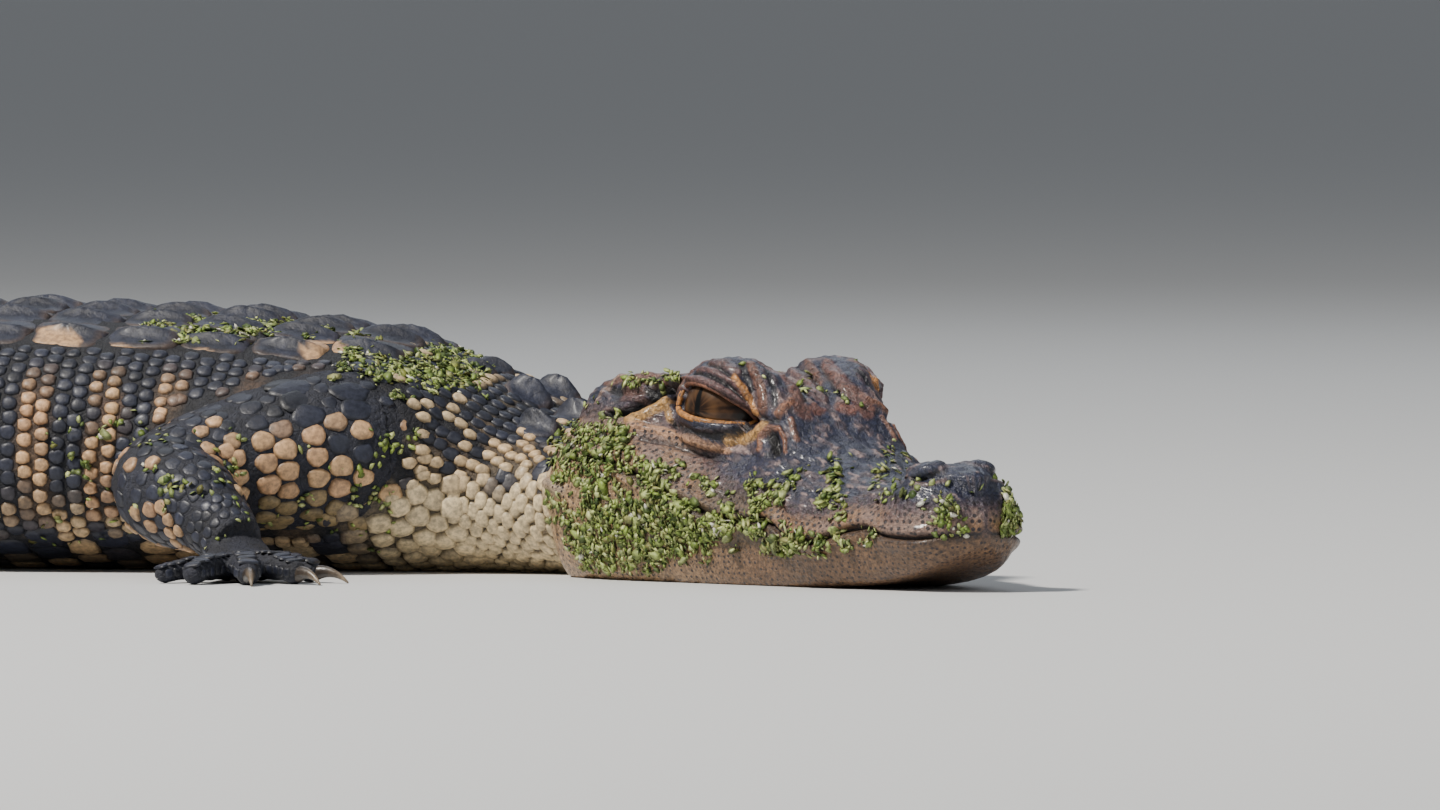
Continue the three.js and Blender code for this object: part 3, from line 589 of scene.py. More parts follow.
def join(parts):
    verts, faces, start = [], [], 0
    for v, f in parts:
        verts.append(v)
        faces += [tuple(i + start for i in face) for face in f]
        start += len(v)
    return np.vstack(verts), faces


def plan_vector(degrees):
    return np.array([math.cos(math.radians(degrees)), math.sin(math.radians(degrees)), 0])


# Share of the width left along a tube with rounded ends
def rounded(n):
    end = np.minimum(np.linspace(0, 1, n), np.linspace(1, 0, n)) / 0.1
    return np.sqrt(1 - np.clip(1 - end, 0, 1) ** 2 * 0.84)


def claw_path(root, way, length, n=22):
    t = np.linspace(0, 1, n)[:, None]
    return root + way * length * t - UP * root[2] * 0.92 * t**2 + UP * length * 0.35 * t * (1 - t)


def limb_parts(spec):
    root, joint, ankle = (place(s, spec["side"] * y, z) for s, y, z in (spec["root"], spec["joint"], spec["ankle"]))
    arm = path_through([root, (root + joint) / 2 + UP * 2, joint, (joint + ankle) / 2 + UP, ankle], 70)
    share = np.linspace(0, 1, 70)
    radius = curve([(i / 8, r) for i, r in enumerate(spec["upper"] + spec["lower"])])(share)
    radius = radius * (0.5 + 0.5 * np.sqrt(smooth(0, 0.2, share)))
    parts = [tube(arm, radius, sides=28)]
    knuckles = ankle + plan_vector(spec["foot"]) * spec["length"]
    knuckles[2] = 2.4
    palm = path_through([ankle - unit(ankle - joint) * 3, ankle - UP * 1.5, (ankle + knuckles) / 2 - UP * 0.8,
                         knuckles], 20)
    t = np.linspace(0, 1, 20)
    parts.append(tube(palm, (5 + (spec["width"] - 5) * t**0.7) * rounded(20), (4.6 - 2.1 * t**0.6) * rounded(20), 24))
    base_point = knuckles * 0.75 + ankle * 0.25
    claws, toes = [], []
    for number, (angle, (length, thick)) in enumerate(zip(spec["fan"], spec["toes"])):
        way = plan_vector(spec["foot"] - spec["side"] * angle)
        start = base_point + way * 2
        start[2] = thick + 0.4
        tip = base_point + way * (length + spec["width"] * 0.9)
        tip[2] = thick * 0.72
        toe = path_through([start, start * 0.45 + tip * 0.55 + UP * thick * 0.35, tip], 24)
        u = np.linspace(0, 1, 24)
        swell = 1 + 0.12 * np.exp(-(((u - 0.5) / 0.1) ** 2)) + 0.12 * np.exp(-(((u - 0.85) / 0.1) ** 2))
        parts.append(tube(toe, thick * (1.15 - 0.37 * u) * swell * rounded(24), sides=14))
        toes.append((start, tip, thick))
        if number < CLAWED:
            claws.append((tip - way * thick * 0.3 - way * 0.3, way, spec["claw"] + 0.6, thick * 0.6))
    return parts, dict(spec=spec, claws=claws, arm=arm, radius=radius, toes=toes)


def add_object(name, data):
    obj = bpy.data.objects.new(name, data)
    bpy.context.scene.collection.objects.link(obj)
    return obj


def add_mesh(name, verts, faces):
    mesh = bpy.data.meshes.new(name)
    mesh.from_pydata(np.asarray(verts).tolist(), [], faces)
    return add_object(name, mesh)


# One closed surface round overlapping tubes, with cells of the voxel's size
def fused(parts, voxel):
    obj = add_mesh("fusing", *join(parts))
    remesh = obj.modifiers.new("remesh", "REMESH")
    remesh.mode = "VOXEL"
    remesh.voxel_size = voxel
    soften = obj.modifiers.new("soften", "SMOOTH")
    soften.factor = 0.5
    soften.iterations = 3
    mesh = obj.evaluated_get(bpy.context.evaluated_depsgraph_get()).to_mesh()
    verts = np.empty(len(mesh.vertices) * 3)
    mesh.vertices.foreach_get("co", verts)
    faces = [tuple(p.vertices) for p in mesh.polygons]
    bpy.data.objects.remove(obj)
    return verts.reshape(-1, 3), faces


# Signed distance, roughly, to the trunk and to a limb
def trunk_gap(points):
    s, y, z = unplace(points).T
    power = roundness(s)
    top, waist = levels(s)
    high = np.where(z > waist, top - waist, waist - BELLY_SINK)
    f = (np.abs(y / half_width(s)) ** power + np.abs((z - waist) / high) ** power) ** (1 / power)
    return np.hypot(y, z - waist) * (1 - 1 / np.maximum(f, 1e-3))


def axis_gap(points, limb):
    axis, radius = limb["arm"][::3], limb["radius"][::3]
    return (np.linalg.norm(points[:, None] - axis[None], axis=2) - radius[None]).min(1)


def fillet(gap):
    return BLEND / 4 * np.clip(1 - np.abs(gap) / BLEND, 0, 1) ** 2


limbs = {}
for name, spec in LIMBS.items():
    parts, limb = limb_parts(spec)
    limb["verts"], limb["faces"] = fused(parts, 0.6)
    limbs[name] = limb


# The trunk swells where a limb leaves it.
swell = np.zeros(len(world))
for limb in limbs.values():
    close = np.flatnonzero((np.linalg.norm(world - limb["arm"][:40].mean(0), axis=1) < 60) & ~on_head)
    swell[close] += fillet(axis_gap(world[close], limb))
skin = skin + normals * swell[:, None]
skin[:, 2] = np.maximum(skin[:, 2], GROUND)

# Markings of trunk and tail, from the place on the animal alone, shared by skin and scales
flank_s = np.arange(165, 390.0)
flank_x = to_pixel(place(flank_s, -half_width(flank_s) * 0.98, 22 + 0 * flank_s))[:, 0]
BAND_START = float(np.interp(-240, -flank_x, flank_s))
BAND_PERIOD = 12.6
BACK_SPOTS = pairs("56,340 116,356 194,359 275,370 325,352 404,402 446,409 459,388")


def band(s, z, period, share, seed):
    p = np.stack([s, z, 0 * s], -1)
    at = (s - BAND_START + 3.4 * (noise(p, 7, seed) - 0.5)) / period
    off = np.abs(at - np.round(at))
    return 1 - smooth(share - 0.05, share + 0.05, off)


def hide_colour(s, y, z):
    p = np.stack([s, y, z], -1)
    patch, grain = noise(p, 3.2, 41), noise(p, 14, 42)
    colour = mix(SLATE, SLATE_BLUE, patch)
    on_tail = smooth(385, 410, s)
    fade = smooth(0, 0.25, grain)
    cream = band(s, z, BAND_PERIOD, 0.2, 43) * smooth(8, 12, z) * (1 - smooth(31, 37, z + 3 * (grain - 0.5)))
    cream = cream * (1 - on_tail) * smooth(168, 180, s) * fade
    low = smooth(0.44, 0.56, noise(p, 4.5, 44)) * (1 - smooth(9, 15, z)) * (1 - on_tail)
    top = back_height(s)
    rings = band(s, z, BAND_PERIOD * 2.1, 0.17, 45) * smooth(0.1, 0.35, noise(p, 5, 46) + 0.2 * z / top)
    rings = rings * on_tail * smooth(0.12, 0.3, z / top)
    under = on_tail * (1 - smooth(0.1, 0.26, z / top))
    front = 1 - smooth(160, 170, s)
    neck = front * smooth(0.3, 0.36, noise(p, 3.4, 47) - 0.42 * smooth(14, 34, z))
    neck = np.maximum(neck, front * (1 - smooth(13, 18, z + 4 * (grain - 0.5))))
    white = neck * (1 - smooth(12, 22, z))
    colour = mix(colour, mix(CREAM, TAN, grain), np.clip(np.maximum(cream, rings), 0, 1))
    pale = mix(mix(CREAM, PALE, grain) * 0.85, PALE, white)
    colour = mix(colour, pale, np.clip(np.maximum(np.maximum(low, under), neck), 0, 1) * 0.92)
    return colour


body = grid_s > HEAD_LENGTH + 2
# The trunk's skin shows only between its scales and is much darker than the hide, leaning to slate: partly the skin's
# own darker tone, partly painted shade in the gaps between scales
body_tint = mix(hide_colour(grid_s[body], flat_y[body], flat_z[body]) * 0.22, SLATE, 0.35)
tint[body] = mix(tint[body], body_tint, smooth(108, 118, grid_s[body]))

# Fine folds between the scales of the trunk
fold = fbm(np.stack([grid_s, flat_y * grid_side, flat_z], -1), 3.2, 51) - 0.5
skin += normals * (fold * 0.55 * smooth(110, 122, grid_s))[:, None] * (skin[:, 2:] > 2)
skin[:, 2] = np.maximum(skin[:, 2], GROUND)


def mirror_head(points):
    return points - 2 * (points @ head_left)[:, None] * head_left


# Place on the eyeball, or on a sphere round it, behind a pixel
def on_eye(uv, radius):
    way, to_centre = unit(pixel_ray(uv)), eye_centre - camera_at
    along = to_centre @ way
    reach = along - math.sqrt(max(radius**2 - (to_centre @ to_centre - along**2), 0))
    return eye_centre + unit(camera_at + way * reach - eye_centre) * radius


# Rims of the lids: each a tube that lies on the eyeball
def lid(line, radius, lift):
    path = path_through([on_eye(uv, EYE_R + lift) for uv in pairs(line)], 40)
    return tube(path, radius * rounded(40), sides=12)


UPPER_RIM = "671,387 678,382 695,383 715,390 732,400 748,410 758,421"
LOWER_RIM = "675,384 670,396 675,408 686,416 702,421 725,424 749,425 758,421"
LIDS = [(lid(UPPER_RIM, 0.5, 0.85), linear("#7a4f3c")), (lid(LOWER_RIM, 0.58, 0.9), linear("#b97f42"))]

# One skin from trunk, limbs and lids. Each part has its mesh, colours, masks (dots of lip and jaw, dryness) and map.
lip_dots = on_head * (1 - smooth(lip_top + 2, lip_top + 5, above)) * (1 - jaw) * (1 - smooth(90, 100, grid_s))
lip_dots = lip_dots * np.where(grid_s > 55, smooth(422, 430, near_pixel[:, 1]), 1)
trunk_mask = np.stack([lip_dots, jaw * (1 - smooth(98, 106, grid_s)), smooth(104, 112, grid_s)], -1)
trunk_map = np.stack([grid_s / TOTAL_LENGTH * 0.98 + 0.01, 0.01 + 0.58 * np.tile(np.arange(C), R) / C], -1)
ends = np.array([skin[:C].mean(0) + head_forward * 0.1, skin[-C:].mean(0)])
parts = [(np.vstack([skin, ends]), shell(R, C, turned=True))]
tints = [np.vstack([tint, tint[:1], tint[-1:]])]
masks = [np.vstack([trunk_mask, np.zeros((2, 3))])]
maps = [np.vstack([trunk_map, trunk_map[:1], trunk_map[-1:]])]
for limb, (u0, v0) in zip(limbs.values(), ((0.01, 0.62), (0.51, 0.62), (0.01, 0.81), (0.51, 0.81))):
    verts, axis = limb["verts"], limb["arm"]
    nearest = np.linalg.norm(verts[:, None] - axis[None, ::3], axis=2).argmin(1)
    away = verts - axis[::3][nearest]
    away /= np.linalg.norm(away, axis=1, keepdims=True) + 1e-9
    verts = verts + away * (fillet(trunk_gap(verts)) * smooth(40, 20, nearest * 3))[:, None]
    verts += away * ((fbm(verts, 2.4, 71) - 0.5) * 0.5 * smooth(3, 8, verts[:, 2]))[:, None]
    verts[:, 2] = np.maximum(verts[:, 2], GROUND)
    parts.append((verts, limb["faces"]))
    tints.append(mix(SLATE, SLATE_BLUE, noise(verts, 3, 61)) * 0.7)
    masks.append(np.tile([0, 0, 1.0], (len(verts), 1)))
    across = np.cross(np.gradient(axis, axis=0)[::3][nearest], UP)
    turned = np.arctan2(away[:, 2], (away * across).sum(1)) / (2 * np.pi) + 0.5
    maps.append(np.stack([u0 + nearest / len(axis[::3]) * 0.47, v0 + 0.17 * turned], -1))
for (verts, faces), colour in LIDS:
    for flip in (False, True):
        v = mirror_head(verts) if flip else verts
        parts.append((v, [face[::-1] for face in faces] if flip else faces))
        tints.append(mix(colour, DARK, 0.5 * smooth(0.55, 0.8, noise(v, 1.1, 77))))
        masks.append(np.tile([0, 0, 0.4], (len(v), 1)))
        maps.append(np.full((len(v), 2), 0.995))
skin_verts, skin_faces = join(parts)
skin_map = np.vstack(maps)
tree = BVHTree.FromPolygons([Vector(v) for v in skin_verts], skin_faces)
vertex_tree = KDTree(len(skin_verts))
for i, v in enumerate(skin_verts):
    vertex_tree.insert(Vector(v), i)
vertex_tree.balance()


# Place on the skin's own unwrap of the skin nearest to world points
def skin_uv(points):
    return np.array([skin_map[vertex_tree.find(Vector(p))[1]] for p in points])


# Point, outward normal and distance of the outermost skin near each point
def on_skin(points, reach=3.5):
    spots, ways, gaps = [], [], []
    for p in points:
        spot, way, _, gap = tree.find_nearest(Vector(p))
        above, above_way, _, _ = tree.ray_cast(spot + way * reach, -way, reach + 0.1)
        if above is not None and above_way.dot(way) > 0.2:
            spot, way = above, above_way
        spots.append(spot)
        ways.append(way)
        gaps.append(gap)
    return np.array(spots), np.array(ways), np.array(gaps)


# Mesh object in the part's frame with its colours, masks and bake map
def build(name, verts, faces, colour, material, uv=None, mask=None, stands_for=()):
    obj = add_mesh(name, put(verts), faces)
    mesh = obj.data
    mesh.validate()
    rgba = np.hstack([np.clip(colour, 0, 1), np.ones((len(verts), 1))])
    mesh.attributes.new("tint", "FLOAT_COLOR", "POINT").data.foreach_set("color", rgba.ravel())
    if mask is not None:
        for i, label in enumerate(("lip_dots", "jaw_dots", "dry")):
            mesh.attributes.new(label, "FLOAT", "POINT").data.foreach_set("value", mask[:, i].copy())
    if uv is not None:
        corner = np.empty(len(mesh.loops), dtype=np.int32)
        mesh.loops.foreach_get("vertex_index", corner)
        mesh.uv_layers.new(name="OFBake").data.foreach_set("uv", uv[corner].ravel())
    mesh.shade_smooth()
    mesh.materials.append(material)
    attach(obj, "root")
    if stands_for:
        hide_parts(*stands_for)


def opaque(hexa):
    return tuple(linear(hexa)) + (1.0,)


# A material being put together: each method adds a node and returns the socket that the next one takes.
class Shade:
    def __init__(self, name, **values):
        self.mat = bpy.data.materials.new(name)
        self.mat.use_nodes = True
        self.main = self.mat.node_tree.nodes["Principled BSDF"]
        for label, value in values.items():
            self.feed(label.replace("_", " "), value)

    def join(self, socket, value):
        if isinstance(value, bpy.types.NodeSocket):
            self.mat.node_tree.links.new(value, socket)
        else:
            socket.default_value = value

    def feed(self, label, value):
        self.join(self.main.inputs[label], value)

    def node(self, kind, out, inputs, **settings):
        node = self.mat.node_tree.nodes.new("ShaderNode" + kind)
        for label, value in settings.items():
            setattr(node, label, value)
        for label, value in inputs.items():
            self.join(node.inputs[label], value)
        return node.outputs[out]

    def attribute(self, label, out="Fac"):
        return self.node("Attribute", out, {}, attribute_name=label)

    def math(self, operation, a, b):
        return self.node("Math", 0, {0: a, 1: b}, operation=operation, use_clamp=True)

    def ramp(self, source, low, high, flip=False):
        ends = {"From Min": low, "From Max": high, "To Min": float(flip), "To Max": 1.0 - flip}
        return self.node("MapRange", "Result", {"Value": source, **ends}, interpolation_type="SMOOTHSTEP")

    def spread(self, source, low, high):
        return self.node("MapRange", "Result", {"Value": source, "To Min": low, "To Max": high})

    def mix(self, factor, a, b, kind="MIX"):
        return self.node("Mix", 2, {0: factor, 6: a, 7: b}, data_type="RGBA", blend_type=kind)

    # Textures take their scale in cells to a millimetre.
    def texture(self, kind, out, per_mm, inputs, **settings):
        where = self.node("TexCoord", "Object", {})
        return self.node(kind, out, {"Vector": where, "Scale": per_mm * 1000, **inputs}, **settings)

    def noise(self, per_mm, detail, roughness=0.5):
        return self.texture("TexNoise", "Fac", per_mm, {"Detail": detail, "Roughness": roughness})

    def cells(self, per_mm, randomness, **settings):
        return self.texture("TexVoronoi", "Distance", per_mm, {"Randomness": randomness}, **settings)

    # Layers of (source, strength, depth in mm), one over the other
    def bump(self, *layers):
        below = {}
        for source, strength, depth in layers:
            inputs = {"Height": source, "Strength": strength, "Distance": depth / 1000, **below}
            below = {"Normal": self.node("Bump", "Normal", inputs)}
        self.feed("Normal", below["Normal"])


def skin_material():
    m = Shade("damp_skin", Roughness=0.42, Coat_Roughness=0.16, Specular_IOR_Level=0.5)
    dry, lip, jaw = (m.attribute(label) for label in ("dry", "lip_dots", "jaw_dots"))
    grain = m.noise(1.3, 5.0, 0.62)
    edges = m.cells(0.62, 0.9, feature="DISTANCE_TO_EDGE")
    shade = m.mix(m.ramp(grain, 0.3, 0.7), (0.42, 0.42, 0.48, 1), (1.45, 1.4, 1.34, 1))
    colour = m.mix(1.0, m.attribute("tint", "Color"), shade, "MULTIPLY")
    # Painted shade: the seams between the small scales of the skull darken to near-black, faintly on lips and jaw and
    # not at all behind the head
    seam = m.math("MULTIPLY", m.ramp(edges, 0.005, 0.075, flip=True), m.spread(dry, 0.42, 0.0))
    seam = m.math("MULTIPLY", seam, m.spread(m.math("ADD", lip, jaw), 1.0, 0.12))
    colour = m.mix(seam, colour, opaque("#1c1a20"))
    for weight, pitch, size in ((lip, 1.1, 0.36), (jaw, 0.95, 0.3)):
        dot = m.ramp(m.cells(1 / pitch, 0.45), size - 0.07, size + 0.05, flip=True)
        colour = m.mix(m.math("MULTIPLY", dot, weight), colour, opaque("#2e2426"))
    m.feed("Base Color", colour)
    m.feed("Roughness", m.math("ADD", m.spread(m.noise(0.25, 3.0), 0.2, 0.52), m.math("MULTIPLY", dry, 0.34)))
    m.feed("Coat Weight", m.spread(dry, 0.2, 0.0))
    m.bump((m.ramp(edges, 0.02, 0.12), 0.4, 0.25), (grain, 0.7, 0.6), (m.noise(3.2, 4.0, 0.6), 0.5, 0.25))
    return m.mat


def horn_material(name, rough, coat, gloss=0.5, streak=0.0):
    m = Shade(name, Roughness=rough, Coat_Weight=coat, Coat_Roughness=0.22, Specular_IOR_Level=gloss)
    grain = m.noise(1.1, 5.0, 0.6)
    shade = m.mix(m.ramp(grain, 0.3, 0.7), (0.6, 0.6, 0.62, 1), (1.3, 1.28, 1.22, 1))
    m.feed("Base Color", m.mix(1.0, m.attribute("tint", "Color"), shade, "MULTIPLY"))
    m.feed("Roughness", m.spread(grain, rough - 0.1, rough + 0.14))
    m.bump((grain, 0.35 + streak, 0.35), (m.noise(3.5, 4.0, 0.6), 0.3, 0.15))
    return m.mat


def eye_material():
    m = Shade("eye_gloss", Roughness=0.35, Coat_Weight=0.5, Coat_Roughness=0.02, Coat_IOR=1.35, Specular_IOR_Level=0.2)
    m.feed("Base Color", m.attribute("tint", "Color"))
    return m.mat


SCALE = horn_material("scale_horn", 0.48, 0.08, 0.42)
PLATE = horn_material("scute_horn", 0.5, 0.06, 0.4, 0.2)
CLAW = horn_material("claw_horn", 0.34, 0.3, 0.5, 0.1)
WEED = horn_material("duckweed", 0.5, 0.05, 0.4)
EYE = eye_material()

TRUNK_NODES = ["head", "lower_jaw", "neck", "torso", "tail_base", "tail_middle", "tail_rear", "tail_tip"]
LIMB_PARTS = {"hand": ("upper_arm", "forearm", "hand"), "foot": ("thigh", "shank", "foot")}
limb_nodes = [f"{part}_{name.split('_')[0]}" for name, spec in LIMBS.items() for part in LIMB_PARTS[spec["foot_name"]]]
build("skin", skin_verts, skin_faces, np.vstack(tints), skin_material(), skin_map, np.vstack(masks),
      stands_for=TRUNK_NODES + limb_nodes)


# Template of a scale: rings of a unit disc as (radius, height), and a point in the middle at height 1
def disc(sides, rings):
    angle, (radius, level) = np.arange(sides) * 2 * np.pi / sides, np.array(rings).T
    flat = radius[:, None, None] * np.stack([np.cos(angle), np.sin(angle)], -1)
    j, last = np.arange(sides), (len(rings) - 1) * sides
    tip = np.stack([last + j, last + (j + 1) % sides, last + sides + 0 * j], -1)
    return (np.vstack([flat.reshape(-1, 2), [[0, 0]]]), np.append(np.repeat(level, sides), 1.0),
            (np.array(ring_faces(len(rings), sides)), tip))


SMALL_DISC = disc(10, [(1.0, -0.5), (0.95, 0.25), (0.78, 0.72), (0.45, 0.95)])
LIMB_DISC = disc(16, [(1.0, -0.5), (0.94, 0.35), (0.75, 0.78), (0.4, 0.96)])
PLATE_DISC = disc(36, [(1.0, -0.6), (0.985, 0.1), (0.95, 0.5), (0.88, 0.74), (0.72, 0.88), (0.5, 0.95), (0.3, 0.98),
                       (0.12, 1.0)])
# Size on the bake map of a scale or fleck of unit radius
MAP_SIZE = 0.0014


# Many scales as one mesh: centres, ways along and up, half lengths, half widths, heights and keels, colours of the
# middle and the edge. Higher squareness fills the corners.
def scales(name, spots, along, up, half, wide, high, keel, colour, edge, material=SCALE, slot="back",
           template=SMALL_DISC, square=2.6, uneven=0.06, rough=0.0, lean=0.0, mottle=0.0, paint=None):
    flat, level, shapes = template
    n, m = len(spots), len(flat)
    half, wide, high, keel, power = (np.broadcast_to(v, n)[:, None] for v in (half, wide, high, keel, square))
    across = unit(np.cross(up, along))
    along = np.cross(across, up)
    radius = np.linalg.norm(flat, axis=1)
    angle = np.arctan2(flat[:, 1], flat[:, 0])
    out = (np.abs(np.cos(angle)) ** power + np.abs(np.sin(angle)) ** power) ** (-1 / power)
    wobble = 1 + uneven * (rng.random((n, 1)) * 2 - 1 + np.sin(3 * angle + 6.3 * rng.random((n, 1)))
                           + 0.7 * np.sin(5 * angle + 6.3 * rng.random((n, 1))))
    x = radius * np.cos(angle) * out * wobble
    y = radius * np.sin(angle) * out * wobble
    ridge = np.exp(-((y / 0.2) ** 2)) + 0.35 * np.exp(-((y / 0.5) ** 2))
    hump = np.clip(1 - ((x + 0.15) / 1.05) ** 2, 0, 1) ** 0.8
    lift = level * high + keel * ridge * hump * (level > 0) / 1.35
    ahead = x * half - lean * lift * (level > 0)
    verts = (spots[:, None] + along[:, None] * ahead[..., None] + across[:, None] * (y * wide)[..., None]
             + up[:, None] * lift[..., None])
    if rough:
        pits = fbm(verts.reshape(-1, 3), 1.1, 91).reshape(n, m) - 0.5
        verts = verts + up[:, None] * (pits * rough * (level > 0.2))[..., None]
    verts = verts.reshape(-1, 3)
    verts[:, 2] = np.maximum(verts[:, 2], GROUND * 0.6)
    # Each scale's rim fades to its edge colour. Where that is darker, as on trunk, limbs and crest, it is painted shade
    # in the gaps between scales; the scutes' paler edge is the horn's own colour
    rim = smooth(0.98, 0.72, radius)[None, :, None]
    tone = colour[:, None] * rim + edge[:, None] * (1 - rim)
    tone = tone * (0.85 + 0.3 * rng.random((n, 1, 1)))
    if mottle:
        broken = smooth(0.46, 0.6, fbm(verts, 3.4, 93)).reshape(n, m)
        tone = mix(tone, SLATE_BLUE, mottle * broken)
    if paint:
        tone = mix(tone, mix(CREAM, TAN, 0.5) * 0.9, paint(verts).reshape(n, m))
    start = (np.arange(n) * m)[:, None, None]
    faces = [face for shape in shapes for face in (shape + start).reshape(-1, shape.shape[1]).tolist()]
    uv = skin_uv(spots)[:, None] + np.stack([x, y], -1) * MAP_SIZE
    build(name, verts, faces, tone.reshape(-1, 3), material, uv.reshape(-1, 2))


def backward(s):
    return -np.hstack([ways_at(s)[0], np.zeros((len(s), 1))])


# Lattice of scales round the trunk: rows along s, each filled by arc length between two places on the section
def ring_lattice(s, s_to, pitch, width, arc_from, arc_to):
    found, row = [], 0
    while s < s_to:
        step = float(pitch(s)) if callable(pitch) else pitch
        y, z = trunk_section(np.full(241, s + step / 2), np.linspace(np.pi / 2, -np.pi / 2, 241))
        arc = np.concatenate([[0], np.cumsum(np.hypot(np.diff(y), np.diff(z)))])
        low, high = arc_from(s, arc, z), arc_to(s, arc, z)
        if high > low:
            count = max(int(round((high - low) / (float(width(s)) if callable(width) else width))), 1)
            size = (high - low) / count
            at = low + (np.arange(count) + (0.5 if row % 2 else 0.02) + 0.2 * (rng.random(count) - 0.5)) * size
            y, z = np.interp(at, arc, y), np.interp(at, arc, z)
            x = s + step / 2 + 0.16 * step * (rng.random(count) - 0.5)
            for side in (-1, 1):
                found.append(np.stack([x, side * y, z, 0 * z + step / 2, 0 * z + size / 2], -1))
        s += step
        row += 1
    return np.vstack(found)


def arc_where(z_level):
    return lambda s, arc, z: float(np.interp(-z_level(s), -z, arc))


# Scales of one belt of the trunk. None takes its colour from above the level paint_top.
def trunk_scales(name, lattice, high, size, square=2.6, paint_top=99):
    world = place(*lattice[:, :3].T)
    spots, ways, gaps = on_skin(world)
    keep = gaps < 4.5
    for limb in limbs.values():
        close = np.linalg.norm(world - limb["arm"][:50].mean(0), axis=1) < 62
        keep[close] &= axis_gap(world[close], limb) > -0.6
    spots, ways = spots[keep], ways[keep]
    s, y, z, half, wide = lattice[keep].T
    colour = hide_colour(s, y, np.minimum(z, paint_top))
    light = colour.mean(1)
    high = high * (0.6 + 0.4 * smooth(0.04, 0.2, light))
    grow = 1 + 0.09 * smooth(0.2, 0.04, light)
    high = high * (0.8 + 0.4 * rng.random(len(s)))
    no_keel = 0 * rng.random(len(s))
    # The darker edge colour is painted shade in the gaps between scales
    scales(name, spots, backward(s), ways, half * size[0] * grow, wide * size[1] * grow, high, no_keel, colour,
           mix(colour, DARK, 0.35) * 0.7, square=square)


# Half width of the shield of scutes, and the height of the back at its edge
def shield_edge(s):
    return 0.72 * half_width(s)


def shield_drop(s):
    return float(back_at(s, shield_edge(s) + 1.0)) if s < TORSO_END else float(back_height(s) * 0.86)


# Where belly plates begin, and where the small scales of the neck give way to the oblong ones of throat and chest
belly_top = curve("108,4 165,5.5 250,6 380,5 480,3.4 800,0.6")
chest_top = curve("104,19 125,18 140,16 168,13")
flank = ring_lattice(165, TORSO_END, curve("160,2.9 200,3.1 340,3.1 391,3.6"), 2.75, arc_where(shield_drop),
                     arc_where(belly_top))
flank[:, 3:] *= 1 + 0.15 * smooth(14, 7, flank[:, 2:3])
for side, label in ((-1, "right"), (1, "left")):
    trunk_scales(f"scales_flank_{label}", flank[np.sign(flank[:, 1]) == side], 0.75, (0.9, 0.93))

# The other scales of the trunk: s from and to, pitch, width, places on the section, height, size and squareness
blade_length = curve("391,11.2 600,10.2 800,7.6")
from_middle = lambda s, arc, z: 0
to_middle = lambda s, arc, z: arc[-1]
BELTS = {
    "belly": (167, TORSO_END, 6.6, 6.2, arc_where(belly_top), to_middle, 0.5, (0.94, 0.95), 6.0, 5),
    "neck": (106, 164, curve("104,2.4 130,3.2 162,3.2"), 3.0, from_middle, arc_where(chest_top), 0.75, (0.98, 0.76),
             2.2),
    "throat": (108, 140, 2.9, 3.7, arc_where(chest_top), to_middle, 0.6, (0.97, 0.95), 3.4),
    "chest": (139, 167, 4.8, 4.6, arc_where(chest_top), to_middle, 0.85, (0.97, 0.96), 3.4),
    "tail": (TORSO_END, 796, lambda s: blade_length(s) / 2, curve("391,4.2 600,3.4 800,2.4"), from_middle, to_middle,
             0.55, (0.94, 0.93), 4.5),
}
for label, belt in BELTS.items():
    trunk_scales(f"scales_{label}", ring_lattice(*belt[:6]), *belt[6:])

# Scales of the limbs, in rows round the path and along the toes. Each has its place, the way along it, its half length,
# how big it is for its row, its share of the path, half width, and how far it faces up and forward.
rows = []


def add_row(spots, along, *values):
    values = np.broadcast_arrays(*values, spots[:, 0])[:-1]
    rows.append(np.column_stack([spots, np.tile(along, (len(spots), 1)), *values]))


for limb in limbs.values():
    axis, radius = limb["arm"], limb["radius"]
    tangent, across, up = frames(axis)
    length = np.concatenate([[0], np.cumsum(np.linalg.norm(np.diff(axis, axis=0), axis=1))])
    at, odd = 0.0, False
    while at < length[-1] - 1:
        i = int(np.interp(at, length, np.arange(len(axis))))
        front = at / length[-1]
        size = 4.0 if front < 0.45 else 3.4 - 1.2 * smooth(0.7, 1, front)
        count = int(round(2 * np.pi * radius[i] / size))
        angle = (np.arange(count) + 0.5 * odd) * 2 * np.pi / count
        ring = axis[i] + radius[i] * (across[i] * np.cos(angle)[:, None] + up[i] * np.sin(angle)[:, None])
        big = 1 + 0.55 * smooth(0.3, 0.95, np.sin(angle)) * (0.12 < front < 0.42)
        half = size * (0.56 if front < 0.45 else 0.5)
        add_row(ring, -tangent[i], half, np.where(odd & (big >= 1.2), 0.72, big), front, size * 0.47, np.sin(angle),
                -limb["spec"]["side"] * np.cos(angle))
        at, odd = at + half * 1.86, not odd
    for start, tip, thick in limb["toes"]:
        long = np.linalg.norm(tip - start)
        way = (tip - start) / long
        top = start + way * np.arange(1.5, long - 0.8, 1.9)[:, None] + UP * thick * 1.1
        add_row(top, -way, 0.95, 1.0, 1.2, thick * 0.8, 1, 0)
        middle = start + way * np.repeat(np.arange(2.0, long - 1.0, 1.7), 2)[:, None]
        side = np.tile([-1, 1], len(middle) // 2)[:, None]
        add_row(middle + np.cross(UP, way) * side * thick * 1.1 + UP * 0.3, -way, 0.75, 1.0, 1.2, 0.85, 0, 0)
rows = np.vstack(rows)
spots, ways, gaps = on_skin(rows[:, :3], 1.5)
keep = (gaps < 3.4) & (trunk_gap(rows[:, :3]) > -0.6) & (spots[:, 2] > 0.4)
rows, spots, ways = rows[keep], spots[keep], ways[keep]
half, big, front, wide, upness, forward = rows[:, 6:].T
chance = rng.random(len(spots))
